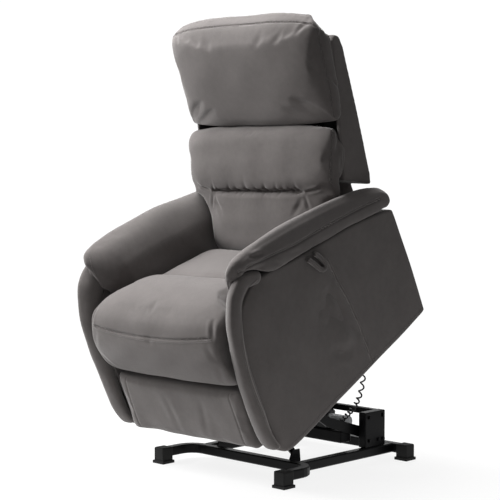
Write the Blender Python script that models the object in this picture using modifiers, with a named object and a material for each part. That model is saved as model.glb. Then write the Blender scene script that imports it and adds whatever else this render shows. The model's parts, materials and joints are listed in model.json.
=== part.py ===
"""Power lift recliner chair, modelled in its raised (standing-aid) position.

Metres, +Z up. The chair faces -Y, and +X is the occupant's left. The floor is z = 0. Pieces are
drawn with y = 0 at the front feet, and the whole chair is then moved to be centred on the origin.
The base and the lift mechanism are drawn where they stand when the chair is raised. Everything
on the chair body is drawn in the lowered position, where the chair sits level on the floor, and
an empty on the lift pivot then raises and tips it as the mechanism does.
"""

import math

import bmesh
import bpy
from mathutils import Matrix, Vector

# ---------------------------------------------------------------- driving dimensions
TILT = math.radians(30.0)  # how far the raised chair tips forward
POLE = (-0.2590, 0.2346)  # (y, z) that the chair turns about between lowered and raised
GAP = 0.0003  # between solids that touch

MIDDLE = (0.0032, 0.1560)  # (x, y) of the middle of the raised chair's footprint

# base
FOOT_X = 0.2666
FOOT_SIZE = 0.044
FOOT_HEIGHT = 0.052
REAR_FOOT_Y = 0.587
TUBE = 0.030  # square base tube
TUBE_Z = 0.035
FRONT_TUBE_Y = 0.130
RAIL_X = 0.210
UPRIGHT_Y = (0.440, 0.540)
UPRIGHT_X = (0.190, 0.220)
UPRIGHT_TOP = 0.166
CROSS_BAR = 0.020

# lift mechanism, (y, z) with the chair raised
LIFT_AXIS = (0.470, 0.095)
LIFT_ELBOW = (0.300, 0.150)
GUIDE_AXIS = (0.170, 0.065)
ACTUATOR_AXIS = (0.560, 0.100)
LIFT_CROSS = (0.395, 0.090)
LIFT_ARM_X = 0.179
GUIDE_X = 0.153
PLATE = 0.006
PIN_R = 0.006
GUIDE_PLAY = 0.0045  # slack in the guide links' upper eyes
ROD_PLAY = 0.0065  # slack in the eye at the end of the actuator's rod

CORD_TURN_R = 0.0095  # radius of the tube that the hand control's curly lead fills

# chair body, (y, z) with the chair lowered; x is half the width
CHAIR_BACK_Y = 0.600  # rear bottom corner of the side panels
CHAIR_FLOOR_Z = 0.045  # underside of the side panels
CHAIR_HALF = 0.345
LIFT_PIVOT = (0.080, 0.0704)  # on the chair's lift brackets
GUIDE_PIVOT = (-0.020, 0.0573)
ACTUATOR_PIVOT = (0.140, 0.130)
BACK_HINGE = (0.380, 0.285)
FOOT_PIVOT = (0.000, 0.235)
FOOT_KNEE = (0.148, 0.209)
CRANK_SLOT_X = (0.2195, 0.2295)
CRANK_SLOT_TOP = 0.2285
FOOT_PANEL_PIVOT = (-0.100, 0.165)
BOARD_X = (0.290, 0.302)
COVER_X = (0.3365, 0.345)
RAIL_Z = (0.2145, 0.265)
SEAT_HALF = 0.230
SEAT_FRONT_HALF = 0.280
ARM_X = (0.232, 0.352)
BACK_HALF = 0.312

PARTS = "lift_recliner_chair"
CUTTERS = "cutters"


# ---------------------------------------------------------------- small helpers
def clear_scene():
    for thing in list(bpy.data.objects):
        bpy.data.objects.remove(thing, do_unlink=True)


def make_collection(name):
    found = bpy.data.collections.get(name) or bpy.data.collections.new(name)
    if found.name not in bpy.context.scene.collection.children:
        bpy.context.scene.collection.children.link(found)
    return found


def material(name, colour, roughness, metallic=0.0):
    found = bpy.data.materials.new(name)
    found.use_nodes = True
    shader = found.node_tree.nodes["Principled BSDF"]
    shader.inputs["Base Color"].default_value = (*colour, 1.0)
    shader.inputs["Roughness"].default_value = roughness
    shader.inputs["Metallic"].default_value = metallic
    found.diffuse_color = (*colour, 1.0)
    return found


def at_chair(y, z):
    """A point measured from the rear bottom corner of the side panels, in the lowered frame."""
    return (CHAIR_BACK_Y + y, CHAIR_FLOOR_Z + z)


def raised(point):
    """Where a (y, z) of the lowered chair is when the chair is raised."""
    y, z = point[0] - POLE[0], point[1] - POLE[1]
    turned_y = y * math.cos(TILT) - z * math.sin(TILT)
    turned_z = y * math.sin(TILT) + z * math.cos(TILT)
    return (POLE[0] + turned_y, POLE[1] + turned_z)


def pivot(name, place, parent=None, tilt=0.0, x=0.0):
    """An empty on a joint axis. (x, *place) is where its pieces' coordinates put the axis."""
    empty = bpy.data.objects.new(name, None)
    empty.empty_display_size = 0.05
    parts.objects.link(empty)
    empty["axis"] = (x, *place)
    if parent:
        attach(empty, parent)
        empty.location = (x, *place)
    else:
        empty.location = (x, *(raised(place) if tilt else place))
        empty.rotation_euler = (tilt, 0, 0)
    return empty


def attach(thing, body):
    """Hangs a piece on its body's empty, keeping the piece's own coordinates as drawn."""
    if body:
        thing.parent = body
        thing.matrix_parent_inverse = Matrix.Translation(-Vector(body["axis"]))
    return thing


def finish(thing, look):
    thing.data.materials.clear()
    thing.data.materials.append(look)
    if thing.type == "MESH":
        thing.data.shade_smooth()
        thing.data.set_sharp_from_angle(angle=math.radians(35))
    return thing


def mesh_object(name, fill, collection=None):
    """A mesh object whose bmesh is filled in by the function fill."""
    data = bpy.data.meshes.new(name)
    work = bmesh.new()
    fill(work)
    work.to_mesh(data)
    work.free()
    thing = bpy.data.objects.new(name, data)
    (collection or parts).objects.link(thing)
    return thing


def box(name, low, high, look, body=None, rounding=0.0, collection=None, segments=2):
    """A block between two corners, with rounded edges where rounding is given."""
    size = [high[i] - low[i] for i in range(3)]
    middle = [(high[i] + low[i]) / 2 for i in range(3)]
    thing = mesh_object(
        name,
        lambda work: bmesh.ops.create_cube(work, size=1.0, matrix=Matrix.Diagonal((*size, 1.0))),
        collection,
    )
    thing.location = middle
    if rounding:
        bevel = thing.modifiers.new("rounded", "BEVEL")
        bevel.width = rounding
        bevel.segments = segments
    finish(thing, look)
    return attach(thing, body)


def rod(name, start, end, radius, look, body=None, sides=20, collection=None):
    """A round bar between two points."""
    start, end = Vector(start), Vector(end)
    along = end - start

    def fill(work):
        bmesh.ops.create_cone(
            work, cap_ends=True, segments=sides, radius1=radius, radius2=radius, depth=along.length
        )

    thing = mesh_object(name, fill, collection)
    thing.rotation_mode = "QUATERNION"
    thing.rotation_quaternion = along.to_track_quat("Z", "Y")
    thing.location = (start + end) / 2
    finish(thing, look)
    return attach(thing, body)


def circle_points(centre, radius, count=16):
    turn = 2 * math.pi / count
    return [
        (centre[0] + radius * math.cos(i * turn), centre[1] + radius * math.sin(i * turn))
        for i in range(count)
    ]


def add_outline(curve, points):
    """Adds a closed outline with straight sides."""
    spline = curve.splines.new("POLY")
    spline.points.add(len(points) - 1)
    for knot, (y, z) in zip(spline.points, points):
        knot.co = (y, z, 0, 1)
    spline.use_cyclic_u = True


def plate(name, outline, x_range, look, body=None, holes=(), collection=None):
    """A side-view outline in (y, z), as thick as x_range, with round holes ((y, z), radius)."""
    curve = bpy.data.curves.new(name, "CURVE")
    curve.dimensions = "2D"
    curve.fill_mode = "BOTH"
    curve.extrude = (x_range[1] - x_range[0]) / 2
    add_outline(curve, outline)
    for centre, radius in holes:
        add_outline(curve, circle_points(centre, radius))
    thing = bpy.data.objects.new(name, curve)
    (collection or parts).objects.link(thing)
    thing.rotation_euler = (math.pi / 2, 0, math.pi / 2)
    thing.location = ((x_range[0] + x_range[1]) / 2, 0, 0)
    finish(thing, look)
    return attach(thing, body)


def pad(name, outline, x_range, look, body=None, edge=0.006, segments=2):
    """A padded piece: a side-view outline in (y, z), x_range wide, with its two rims rounded."""

    def fill(work):
        ends = []
        for x in x_range:
            ends.append([work.verts.new((x, y, z)) for y, z in outline])
        low, high = ends
        work.faces.new(low)
        work.faces.new(high[::-1])
        for i in range(len(outline)):
            j = (i + 1) % len(outline)
            work.faces.new((low[j], low[i], high[i], high[j]))
        bmesh.ops.recalc_face_normals(work, faces=work.faces)

    thing = mesh_object(name, fill)
    bevel = thing.modifiers.new("rounded", "BEVEL")
    bevel.width = edge
    bevel.segments = segments
    bevel.limit_method = "ANGLE"
    bevel.angle_limit = math.radians(65)
    finish(thing, look)
    return attach(thing, body)


def tube(name, points, radius, look, body=None, resolution=3, collection=None):
    """A round tube or wire through the points."""
    curve = bpy.data.curves.new(name, "CURVE")
    curve.dimensions = "3D"
    curve.bevel_depth = radius
    curve.bevel_resolution = resolution
    curve.use_fill_caps = True
    spline = curve.splines.new("POLY")
    spline.points.add(len(points) - 1)
    for knot, place in zip(spline.points, points):
        knot.co = (*place, 1)
    thing = bpy.data.objects.new(name, curve)
    (collection or parts).objects.link(thing)
    finish(thing, look)
    return attach(thing, body)


def square_section(width):
    """The guide outline that a square tube follows."""
    curve = bpy.data.curves.new("square_section", "CURVE")
    curve.dimensions = "2D"
    half, corner = width / 2, width * 0.12
    points = []
    for sx, sy in ((1, 1), (-1, 1), (-1, -1), (1, -1)):
        ends = [(sx * half, sy * (half - corner)), (sx * (half - corner), sy * half)]
        points += ends if sx * sy > 0 else ends[::-1]
    spline = curve.splines.new("POLY")
    spline.points.add(len(points) - 1)
    for knot, (x, y) in zip(spline.points, reversed(points)):
        knot.co = (x, y, 0, 1)
    spline.use_cyclic_u = True
    thing = bpy.data.objects.new("square_section", curve)
    cutters.objects.link(thing)
    thing.hide_render = True
    thing.display_type = "WIRE"
    return thing


def square_tube(name, points, section, look, body=None):
    """A square tube through the points."""
    thing = tube(name, points, 0.0, look, body)
    thing.data.bevel_mode = "OBJECT"
    thing.data.bevel_object = section
    return thing


def rounded_path(points, radius, steps=6):
    """The points, with each inner corner replaced by an arc."""
    corners = [Vector(p) for p in points]
    path = [corners[0]]
    for before, corner, after in zip(corners, corners[1:], corners[2:]):
        a, b = (before - corner).normalized(), (after - corner).normalized()
        half = a.angle(b) / 2
        reach = radius / math.tan(half)
        centre = corner + (a + b).normalized() * (radius / math.sin(half))
        first, last = corner + a * reach - centre, corner + b * reach - centre
        for i in range(steps + 1):
            path.append(centre + first.slerp(last, i / steps).normalized() * radius)
    path.append(corners[-1])
    return path


def smooth_path(points, count):
    """Points along one smooth curve through the given ones."""
    knots = [Vector(p) for p in points]
    knots = [2 * knots[0] - knots[1], *knots, 2 * knots[-1] - knots[-2]]
    spans = len(knots) - 3
    path = []
    for i in range(count + 1):
        where = min(i * spans / count, spans - 1e-9)
        k, t = int(where), where - int(where)
        a, b, c, d = knots[k : k + 4]
        path.append(
            0.5 * (2 * b + (c - a) * t + (2 * a - 5 * b + 4 * c - d) * t**2
                   + (3 * b - a - 3 * c + d) * t**3)
        )
    return path


def to_mesh(thing):
    """A curve object made into a mesh object of the same name and place, its caps welded."""
    bpy.context.view_layer.update()
    shape = thing.evaluated_get(bpy.context.evaluated_depsgraph_get())
    data = bpy.data.meshes.new_from_object(shape)
    work = bmesh.new()
    work.from_mesh(data)
    bmesh.ops.remove_doubles(work, verts=work.verts, dist=1e-5)
    bmesh.ops.recalc_face_normals(work, faces=work.faces)
    work.to_mesh(data)
    work.free()
    solid = bpy.data.objects.new(thing.name + "_mesh", data)
    for home in thing.users_collection:
        home.objects.link(solid)
    solid.parent = thing.parent
    solid.matrix_parent_inverse = thing.matrix_parent_inverse
    solid.matrix_basis = thing.matrix_basis
    name = thing.name
    bpy.data.objects.remove(thing)
    solid.name = name
    return solid


def boolean(thing, tool, operation):
    """Adds or cuts a tool that then stays out of the model."""
    if tool.type != "MESH":
        tool = to_mesh(tool)
    step = thing.modifiers.new(operation.lower(), "BOOLEAN")
    step.operation = operation
    step.solver = "EXACT"
    step.object = tool
    for home in list(tool.users_collection):
        home.objects.unlink(tool)
    cutters.objects.link(tool)
    tool.hide_render = True
    tool.display_type = "WIRE"


def hull_outline(start, end, radius, count=6):
    """The outline of a link: two round ends joined by straight sides."""
    heading = math.atan2(end[1] - start[1], end[0] - start[0])
    points = []
    for centre, first in ((end, heading - math.pi / 2), (start, heading + math.pi / 2)):
        for i in range(count + 1):
            turn = first + i * math.pi / count
            points.append((centre[0] + radius * math.cos(turn), centre[1] + radius * math.sin(turn)))
    return points


def band_outline(line, radii, count=6):
    """The outline of a band of changing width along a line of (y, z) points, with round ends."""
    ahead, behind = [], []
    for i, (y, z) in enumerate(line):
        before, after = line[max(i - 1, 0)], line[min(i + 1, len(line) - 1)]
        length = math.dist(before, after)
        ny, nz = -(after[1] - before[1]) / length, (after[0] - before[0]) / length
        ahead.append((y + ny * radii[i], z + nz * radii[i]))
        behind.append((y - ny * radii[i], z - nz * radii[i]))

    def end(centre, radius, first):
        return [
            (centre[0] + radius * math.cos(first - i * math.pi / count),
             centre[1] + radius * math.sin(first - i * math.pi / count))
            for i in range(1, count)
        ]

    out = math.atan2(ahead[-1][1] - line[-1][1], ahead[-1][0] - line[-1][0])
    back = math.atan2(behind[0][1] - line[0][1], behind[0][0] - line[0][0])
    return ahead + end(line[-1], radii[-1], out) + behind[::-1] + end(line[0], radii[0], back)


def both_sides(name, build):
    """Builds a left (+x) and a right (-x) piece from one function of name and side."""
    for side, sign in (("left", 1), ("right", -1)):
        build(f"{name}_{side}", sign)


def side_range(sign, x_range):
    return tuple(sorted((sign * x_range[0], sign * x_range[1])))


# ---------------------------------------------------------------- base
def build_base():
    section = square_section(TUBE)
    leg_end = FOOT_SIZE / 2 + GAP
    front = [(-FOOT_X, leg_end, TUBE_Z), (-FOOT_X, FRONT_TUBE_Y, TUBE_Z),
             (FOOT_X, FRONT_TUBE_Y, TUBE_Z), (FOOT_X, leg_end, TUBE_Z)]
    front_tube = to_mesh(
        square_tube("base_front_tube", rounded_path(front, 0.055), section, black_steel)
    )
    for sign in (1, -1):
        lug = plate(
            "guide_lug",
            [(FRONT_TUBE_Y + 0.010, 0.024), (0.190, 0.040), (0.186, 0.078), (0.154, 0.078),
             (FRONT_TUBE_Y + 0.010, 0.046)],
            side_range(sign, (0.158, 0.163)), black_steel,
        )
        boolean(front_tube, lug, "UNION")
        pin = rod("guide_pin", (sign * 0.1455, *GUIDE_AXIS), (sign * 0.1605, *GUIDE_AXIS), PIN_R, zinc)
        boolean(front_tube, pin, "UNION")
    finish(front_tube, black_steel)

    rail_front = FRONT_TUBE_Y + TUBE / 2 + GAP
    rail_back = REAR_FOOT_Y - TUBE / 2 - GAP

    def rail(name, sign):
        ends = [(sign * RAIL_X, rail_front, TUBE_Z), (sign * RAIL_X, rail_back, TUBE_Z)]
        square_tube(name, ends, section, black_steel)

    both_sides("base_side_rail", rail)

    reach = FOOT_X - FOOT_SIZE / 2 - GAP
    rear_tube = to_mesh(
        square_tube("base_rear_tube", [(-reach, REAR_FOOT_Y, TUBE_Z), (reach, REAR_FOOT_Y, TUBE_Z)],
                    section, black_steel)
    )
    for sign in (1, -1):
        ear = plate(
            "clevis_ear",
            [(REAR_FOOT_Y - 0.005, 0.040), (REAR_FOOT_Y - 0.005, 0.075), (0.566, 0.114),
             (0.548, 0.112), (0.546, 0.092), (REAR_FOOT_Y - 0.012, 0.040)],
            side_range(sign, (0.0165, 0.0215)), black_steel,
        )
        boolean(rear_tube, ear, "UNION")
    pin = rod("clevis_pin", (-0.019, *ACTUATOR_AXIS), (0.019, *ACTUATOR_AXIS), PIN_R, zinc)
    boolean(rear_tube, pin, "UNION")
    finish(rear_tube, black_steel)

    half = FOOT_SIZE / 2
    for depth, y in (("front", 0.0), ("rear", REAR_FOOT_Y)):
        for side, sign in (("left", 1), ("right", -1)):
            x = sign * FOOT_X
            foot = box(
                f"foot_{depth}_{side}", (x - half, y - half, 0.006), (x + half, y + half, FOOT_HEIGHT),
                rubber, rounding=0.004,
            )
            pad = box("foot_pad", (x - half - 0.003, y - half - 0.003, 0),
                      (x + half + 0.003, y + half + 0.003, 0.009), rubber)
            # the pad stays clear of the tube that enters the foot
            boolean(foot, pad, "UNION")

    def upright(name, sign):
        low_x, high_x = side_range(sign, UPRIGHT_X)
        bottom = TUBE_Z + TUBE / 2 + GAP
        post = box(name, (low_x, UPRIGHT_Y[0], bottom), (high_x, UPRIGHT_Y[1], UPRIGHT_TOP),
                   black_steel, rounding=0.003)
        wall = 0.004
        inner = side_range(sign, (UPRIGHT_X[0] + wall, UPRIGHT_X[1] - wall))
        hollow = box("upright_hollow", (inner[0], UPRIGHT_Y[0] + wall, bottom - 0.01),
                     (inner[1], UPRIGHT_Y[1] - wall, UPRIGHT_TOP - wall), black_steel)
        slot = plate("upright_slot", hull_outline((0.524, 0.148), (0.524, 0.154), 0.005),
                     side_range(sign, (UPRIGHT_X[1] - 0.01, UPRIGHT_X[1] + 0.01)), black_steel)
        boolean(post, hollow, "DIFFERENCE")
        boolean(post, slot, "DIFFERENCE")
        for place in ((0.505, 0.072), (0.528, 0.072), (0.460, 0.072), (0.460, 0.148)):
            bolt = rod("bolt", (sign * (UPRIGHT_X[1] - 0.001), *place),
                       (sign * (UPRIGHT_X[1] + 0.005), *place), 0.006, zinc, sides=6)
            boolean(post, bolt, "UNION")
        pin = rod("lift_pin", (sign * 0.170, *LIFT_AXIS), (sign * 0.192, *LIFT_AXIS), PIN_R, zinc)
        boolean(post, pin, "UNION")

    both_sides("upright", upright)
    bar_z = UPRIGHT_TOP - CROSS_BAR / 2 - 0.001
    inside = UPRIGHT_X[0] - GAP
    box("upright_cross_bar", (-inside, 0.520, bar_z - CROSS_BAR / 2),
        (inside, 0.520 + CROSS_BAR, bar_z + CROSS_BAR / 2), black_steel, rounding=0.002)


# ---------------------------------------------------------------- lift mechanism
def build_lift():
    lift = pivot("lift_axis", LIFT_AXIS)
    tip = raised(LIFT_PIVOT)
    outline = band_outline([LIFT_AXIS, LIFT_ELBOW, tip], [0.018, 0.015, 0.014])

    def arm(name, sign):
        plate(name, outline, side_range(sign, (LIFT_ARM_X - PLATE / 2, LIFT_ARM_X + PLATE / 2)),
              black_steel, lift, holes=[(LIFT_AXIS, PIN_R + GAP), (tip, PIN_R + GAP)])

    both_sides("lift_arm", arm)
    reach = LIFT_ARM_X - PLATE / 2 - GAP
    box("lift_cross_tube", (-reach, LIFT_CROSS[0] - 0.025, LIFT_CROSS[1] - 0.020),
        (reach, LIFT_CROSS[0] + 0.025, LIFT_CROSS[1] + 0.020), black_steel, lift, rounding=0.005)
    low_z = LIFT_CROSS[1] + 0.020 + GAP
    box("control_box", (0.045, LIFT_CROSS[0] - 0.020, low_z), (0.110, LIFT_CROSS[0] + 0.020, low_z + 0.024),
        black_plastic, lift, rounding=0.004)
    plug = (LIFT_CROSS[0], low_z + 0.012)
    rod("cord_plug", (0.110 + GAP, *plug), (0.125, *plug), 0.008, black_plastic, lift)

    guide = pivot("guide_axis", GUIDE_AXIS)
    end = raised(GUIDE_PIVOT)
    outline = band_outline([GUIDE_AXIS, end], [0.010, 0.015])
    holes = [(GUIDE_AXIS, PIN_R + GAP), (end, PIN_R + GUIDE_PLAY)]
    left, right = (
        to_mesh(plate(name, outline, side_range(sign, (GUIDE_X - PLATE / 2, GUIDE_X + PLATE / 2)),
                      black_steel, guide, holes=holes))
        for name, sign in (("guide_links", 1), ("guide_link_other", -1))
    )
    middle = ((GUIDE_AXIS[0] + end[0]) / 2, (GUIDE_AXIS[1] + end[1]) / 2)
    tie = rod("guide_tie", (-GUIDE_X, *middle), (GUIDE_X, *middle), 0.008, black_steel, guide)
    boolean(left, right, "UNION")
    boolean(left, tie, "UNION")
    finish(left, black_steel)
    return (0.125, *plug)


# ---------------------------------------------------------------- actuator
def build_actuator():
    body = pivot("actuator_axis", ACTUATOR_AXIS)
    far = raised(ACTUATOR_PIVOT)
    length = math.dist(ACTUATOR_AXIS, far)
    along = ((far[0] - ACTUATOR_AXIS[0]) / length, (far[1] - ACTUATOR_AXIS[1]) / length)
    slope = math.atan2(along[1], -along[0])

    def on_axis(distance, below=0.0, x=0.0):
        return (x, ACTUATOR_AXIS[0] + along[0] * distance - along[1] * below,
                ACTUATOR_AXIS[1] + along[1] * distance + along[0] * below)

    tail = to_mesh(tube("actuator_tail", [on_axis(0.004), on_axis(0.0547)], 0.012, aluminium, body))
    eye = rod("tail_eye", (-0.0155, *ACTUATOR_AXIS), (0.0155, *ACTUATOR_AXIS), 0.014, aluminium, body)
    boolean(tail, eye, "UNION")
    boolean(tail, rod("tail_bore", (-0.03, *ACTUATOR_AXIS), (0.03, *ACTUATOR_AXIS), PIN_R + GAP,
                      aluminium, body), "DIFFERENCE")
    finish(tail, aluminium)

    gearbox = box("actuator_gearbox", (-0.028, -0.030, -0.032), (0.028, 0.030, 0.032), black_plastic,
                  body, rounding=0.008, segments=3)
    gearbox.rotation_euler = (-slope, 0, 0)
    gearbox.location = on_axis(0.085, below=0.016)

    can = on_axis(0.077, below=0.022)
    rod("actuator_motor", (0.0283, can[1], can[2]), (0.112, can[1], can[2]), 0.019, aluminium, body,
        sides=28)

    outer = to_mesh(tube("actuator_outer_tube", [on_axis(0.1153), on_axis(0.335)], 0.017,
                         aluminium, body))
    boolean(outer, rod("outer_bore", on_axis(0.125), on_axis(0.360), 0.0115, aluminium, body),
            "DIFFERENCE")
    finish(outer, aluminium)

    slide = pivot("actuator_rod_axis", ACTUATOR_AXIS, body)
    piston = to_mesh(tube("actuator_rod", [on_axis(0.260), on_axis(length - 0.014)], 0.010, zinc,
                          slide))
    boolean(piston, rod("rod_eye", (-0.012, *far), (0.012, *far), 0.018, zinc, slide), "UNION")
    boolean(piston, rod("rod_eye_bore", (-0.03, *far), (0.03, *far), PIN_R + ROD_PLAY, zinc, slide),
            "DIFFERENCE")
    finish(piston, zinc)


# ---------------------------------------------------------------- chair body
def side_outline():
    """The outer side panel, clockwise from its front bottom corner."""
    return [at_chair(*p) for p in (
        (-0.7605, 0.012), (-0.762, 0.068), (-0.7645, 0.122), (-0.7625, 0.190), (-0.7585, 0.260),
        (-0.750, 0.317), (-0.735, 0.3775), (-0.692, 0.4575), (-0.671, 0.478), (-0.634, 0.500),
        (-0.598, 0.505), (-0.560, 0.495), (-0.460, 0.472), (-0.335, 0.452), (-0.180, 0.424),
        (-0.060, 0.392), (0.014, 0.362), (0.022, 0.300), (0.020, 0.160), (0.004, 0.012),
        (-0.030, 0.000), (-0.300, -0.001), (-0.600, 0.000),
    )]


def build_seat_frame(chair):
    rail_x = (0.262, BOARD_X[0] - GAP)

    def side_rail(name, sign):
        low_x, high_x = side_range(sign, rail_x)
        rail = box(name, (low_x, at_chair(-0.700, 0)[0], RAIL_Z[0]), (high_x, at_chair(-0.030, 0)[0], RAIL_Z[1]),
                   black_steel, chair)
        pin = rod("foot_pin", (sign * 0.218, *FOOT_PIVOT), (sign * (rail_x[0] + 0.002), *FOOT_PIVOT), 0.005,
                  zinc, chair)
        boolean(rail, pin, "UNION")

    both_sides("seat_side_rail", side_rail)
    inside = rail_x[0] - GAP

    front = box("seat_front_rail", (-inside, at_chair(-0.700, 0)[0], RAIL_Z[0] + 0.002),
                (inside, at_chair(-0.672, 0)[0], RAIL_Z[1] - 0.005), black_steel, chair)
    for sign in (1, -1):
        low_x, high_x = side_range(sign, CRANK_SLOT_X)
        slot = box("crank_slot", (low_x, at_chair(-0.710, 0)[0], RAIL_Z[0]),
                   (high_x, at_chair(-0.660, 0)[0], CRANK_SLOT_TOP), black_steel, chair)
        boolean(front, slot, "DIFFERENCE")
        y, z = GUIDE_PIVOT
        ear = plate("guide_ear", [(y - 0.055, 0.225), (y - 0.016, 0.045), (y + 0.014, 0.043),
                                  (y + 0.018, 0.072), (y - 0.020, 0.225)],
                    side_range(sign, (0.158, 0.163)), black_steel, chair)
        boolean(front, ear, "UNION")
        pin = rod("guide_pin", (sign * 0.1455, *GUIDE_PIVOT), (sign * 0.1605, *GUIDE_PIVOT), PIN_R, zinc, chair)
        boolean(front, pin, "UNION")
    finish(front, black_steel)

    hinge_rail = box("seat_hinge_rail", (-inside, at_chair(-0.290, 0)[0], RAIL_Z[0] + 0.004),
                     (inside, at_chair(-0.262, 0)[0], RAIL_Z[1] - 0.008), black_steel, chair)
    for sign in (1, -1):
        y, z = BACK_HINGE
        ear = plate("hinge_ear", [at_chair(-0.285, 0.175), (y + 0.016, z - 0.030), (y + 0.017, z + 0.006),
                                  (y - 0.004, z + 0.018), (y - 0.020, z + 0.004), at_chair(-0.285, 0.205)],
                    side_range(sign, (0.250, 0.256)), black_steel, chair)
        boolean(hinge_rail, ear, "UNION")
        pin = rod("hinge_pin", (sign * 0.202, *BACK_HINGE), (sign * 0.253, *BACK_HINGE), PIN_R, zinc, chair)
        boolean(hinge_rail, pin, "UNION")
    finish(hinge_rail, black_steel)

    low = at_chair(-0.018, 0.062)
    high = at_chair(-0.004, 0.108)
    box("seat_rear_rail", (-BOARD_X[0] + GAP, *low), (BOARD_X[0] - GAP, *high), wood, chair)

    def lift_bracket(name, sign):
        y, z = LIFT_PIVOT
        web = to_mesh(plate(name, [(y - 0.016, z + 0.006), (y - 0.010, z - 0.016), (y + 0.012, z - 0.014),
                                   (0.300, 0.208), (0.300, 0.2135), (0.168, 0.2135)],
                            side_range(sign, (0.184, 0.189)), black_steel, chair))
        pin = rod("lift_pin", (sign * 0.172, *LIFT_PIVOT), (sign * 0.186, *LIFT_PIVOT), PIN_R, zinc, chair)
        x = side_range(sign, (0.186, BOARD_X[0] - 0.002))
        flange = box("flange", (x[0], 0.168, 0.2092), (x[1], 0.300, RAIL_Z[0] - GAP), black_steel, chair)
        boolean(web, flange, "UNION")
        boolean(web, pin, "UNION")
        finish(web, black_steel)

    both_sides("lift_bracket", lift_bracket)

    y, z = ACTUATOR_PIVOT
    mount = box("actuator_mount", (-0.022, y - 0.02, RAIL_Z[0] + 0.004), (0.022, y + 0.05, RAIL_Z[0] + 0.010),
                black_steel, chair)
    beam = box("mount_beam", (-inside, y + 0.012, RAIL_Z[0] + 0.006), (inside, y + 0.036, RAIL_Z[0] + 0.030),
               black_steel, chair)
    boolean(mount, beam, "UNION")
    for sign in (1, -1):
        ear = plate("mount_ear", [(y - 0.014, z - 0.006), (y, z - 0.015), (y + 0.015, z - 0.006),
                                  (y + 0.045, 0.222), (y - 0.016, 0.222)],
                    side_range(sign, (0.0135, 0.0185)), black_steel, chair)
        boolean(mount, ear, "UNION")
    pin = rod("actuator_pin", (-0.016, *ACTUATOR_PIVOT), (0.016, *ACTUATOR_PIVOT), PIN_R, zinc, chair)
    boolean(mount, pin, "UNION")
    finish(mount, black_steel)

    start, end = at_chair(-0.6715, 0)[0], at_chair(-0.2905, 0)[0]
    bends = 24
    wires = []
    for lane in range(5):
        middle = (lane - 2) * 0.088
        path = []
        for i in range(bends + 1):
            sway = 0.0 if i in (0, bends) else (0.024 if i % 4 in (1, 2) else -0.024)
            sag = 0.012 * math.sin(math.pi * i / bends)
            along = start + 0.004 + (end - start - 0.008) * i / bends
            path.append((middle + sway, along, RAIL_Z[1] - 0.018 + sag))
        wires.append(to_mesh(tube("seat_springs", path, 0.002, zinc, chair, resolution=1)))
    for share in (0.3, 0.7):
        y = start + (end - start) * share
        z = RAIL_Z[1] - 0.018 + 0.012 * math.sin(math.pi * share)
        wires.append(to_mesh(tube("tie_wire", [(-0.205, y, z), (0.205, y, z)], 0.002, zinc, chair, 1)))
    for wire in wires[1:]:
        boolean(wires[0], wire, "UNION")
    finish(wires[0], zinc)


def build_sides(chair):
    outline = side_outline()
    middle_y = sum(p[0] for p in outline) / len(outline)
    middle_z = sum(p[1] for p in outline) / len(outline)
    board = [(middle_y + (y - middle_y) * 0.965, middle_z + (z - middle_z) * 0.94) for y, z in outline]

    def side_board(name, sign):
        plate(name, board, side_range(sign, BOARD_X), wood, chair)

    both_sides("side_board", side_board)

    def side_cover(name, sign):
        cover = pad(name, outline, side_range(sign, (BOARD_X[1] + GAP, CHAIR_HALF)), fabric, chair, 0.005)
        inner = [(middle_y + (y - middle_y) * 0.95, middle_z + (z - middle_z) * 0.92) for y, z in outline]
        pocket = plate("cover_hollow", inner, side_range(sign, (BOARD_X[1] - 0.01, COVER_X[0])), fabric,
                       chair)
        boolean(cover, pocket, "DIFFERENCE")
        finish(cover, fabric)

    both_sides("side_cover", side_cover)

    roll_line = [at_chair(*p) for p in (
        (-0.620, 0.535), (-0.655, 0.528), (-0.694, 0.502), (-0.729, 0.450), (-0.754, 0.383),
        (-0.7675, 0.312), (-0.7745, 0.245), (-0.7785, 0.170), (-0.7795, 0.110), (-0.775, 0.062),
        (-0.771, 0.036),
    )]
    roll_width = [0.020, 0.025, 0.0265, 0.0235, 0.0175, 0.0155, 0.0135, 0.013, 0.0125, 0.0115, 0.0095]

    def roll(name, sign):
        pad(name, band_outline(roll_line, roll_width), side_range(sign, (BOARD_X[0], 0.3475)), fabric, chair)

    both_sides("front_roll", roll)

    arm_top = [at_chair(*p) for p in (
        (-0.668, 0.560), (-0.676, 0.574), (-0.668, 0.590), (-0.640, 0.602), (-0.590, 0.606), (-0.527, 0.604),
        (-0.400, 0.590), (-0.261, 0.562), (-0.150, 0.530), (-0.058, 0.495), (0.010, 0.455),
        (0.034, 0.425), (0.030, 0.396), (0.000, 0.384), (-0.060, 0.402), (-0.180, 0.434),
        (-0.335, 0.462), (-0.460, 0.482), (-0.550, 0.502), (-0.580, 0.524), (-0.594, 0.556),
        (-0.630, 0.560),
    )]

    def arm_pad(name, sign):
        pad(name, arm_top, side_range(sign, ARM_X), fabric, chair, 0.008)

    both_sides("arm_pad", arm_pad)

    inner = [at_chair(*p) for p in (
        (-0.655, 0.280), (-0.655, 0.474), (-0.672, 0.482), (-0.672, 0.520), (-0.664, 0.553), (-0.630, 0.553),
        (-0.601, 0.549), (-0.587, 0.521), (-0.552, 0.494), (-0.460, 0.475), (-0.335, 0.455),
        (-0.180, 0.427), (-0.060, 0.395), (-0.012, 0.380), (-0.012, 0.280),
    )]

    def inner_arm(name, sign):
        pad(name, inner, side_range(sign, (0.2365, BOARD_X[0] - GAP)), fabric, chair, 0.005)

    both_sides("inner_arm_pad", inner_arm)

    low, high = at_chair(-0.002, 0.020), at_chair(0.012, 0.148)
    box("rear_panel", (-BOARD_X[0] + 0.002, *low), (BOARD_X[0] - 0.002, *high), fabric, chair, rounding=0.004)


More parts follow.
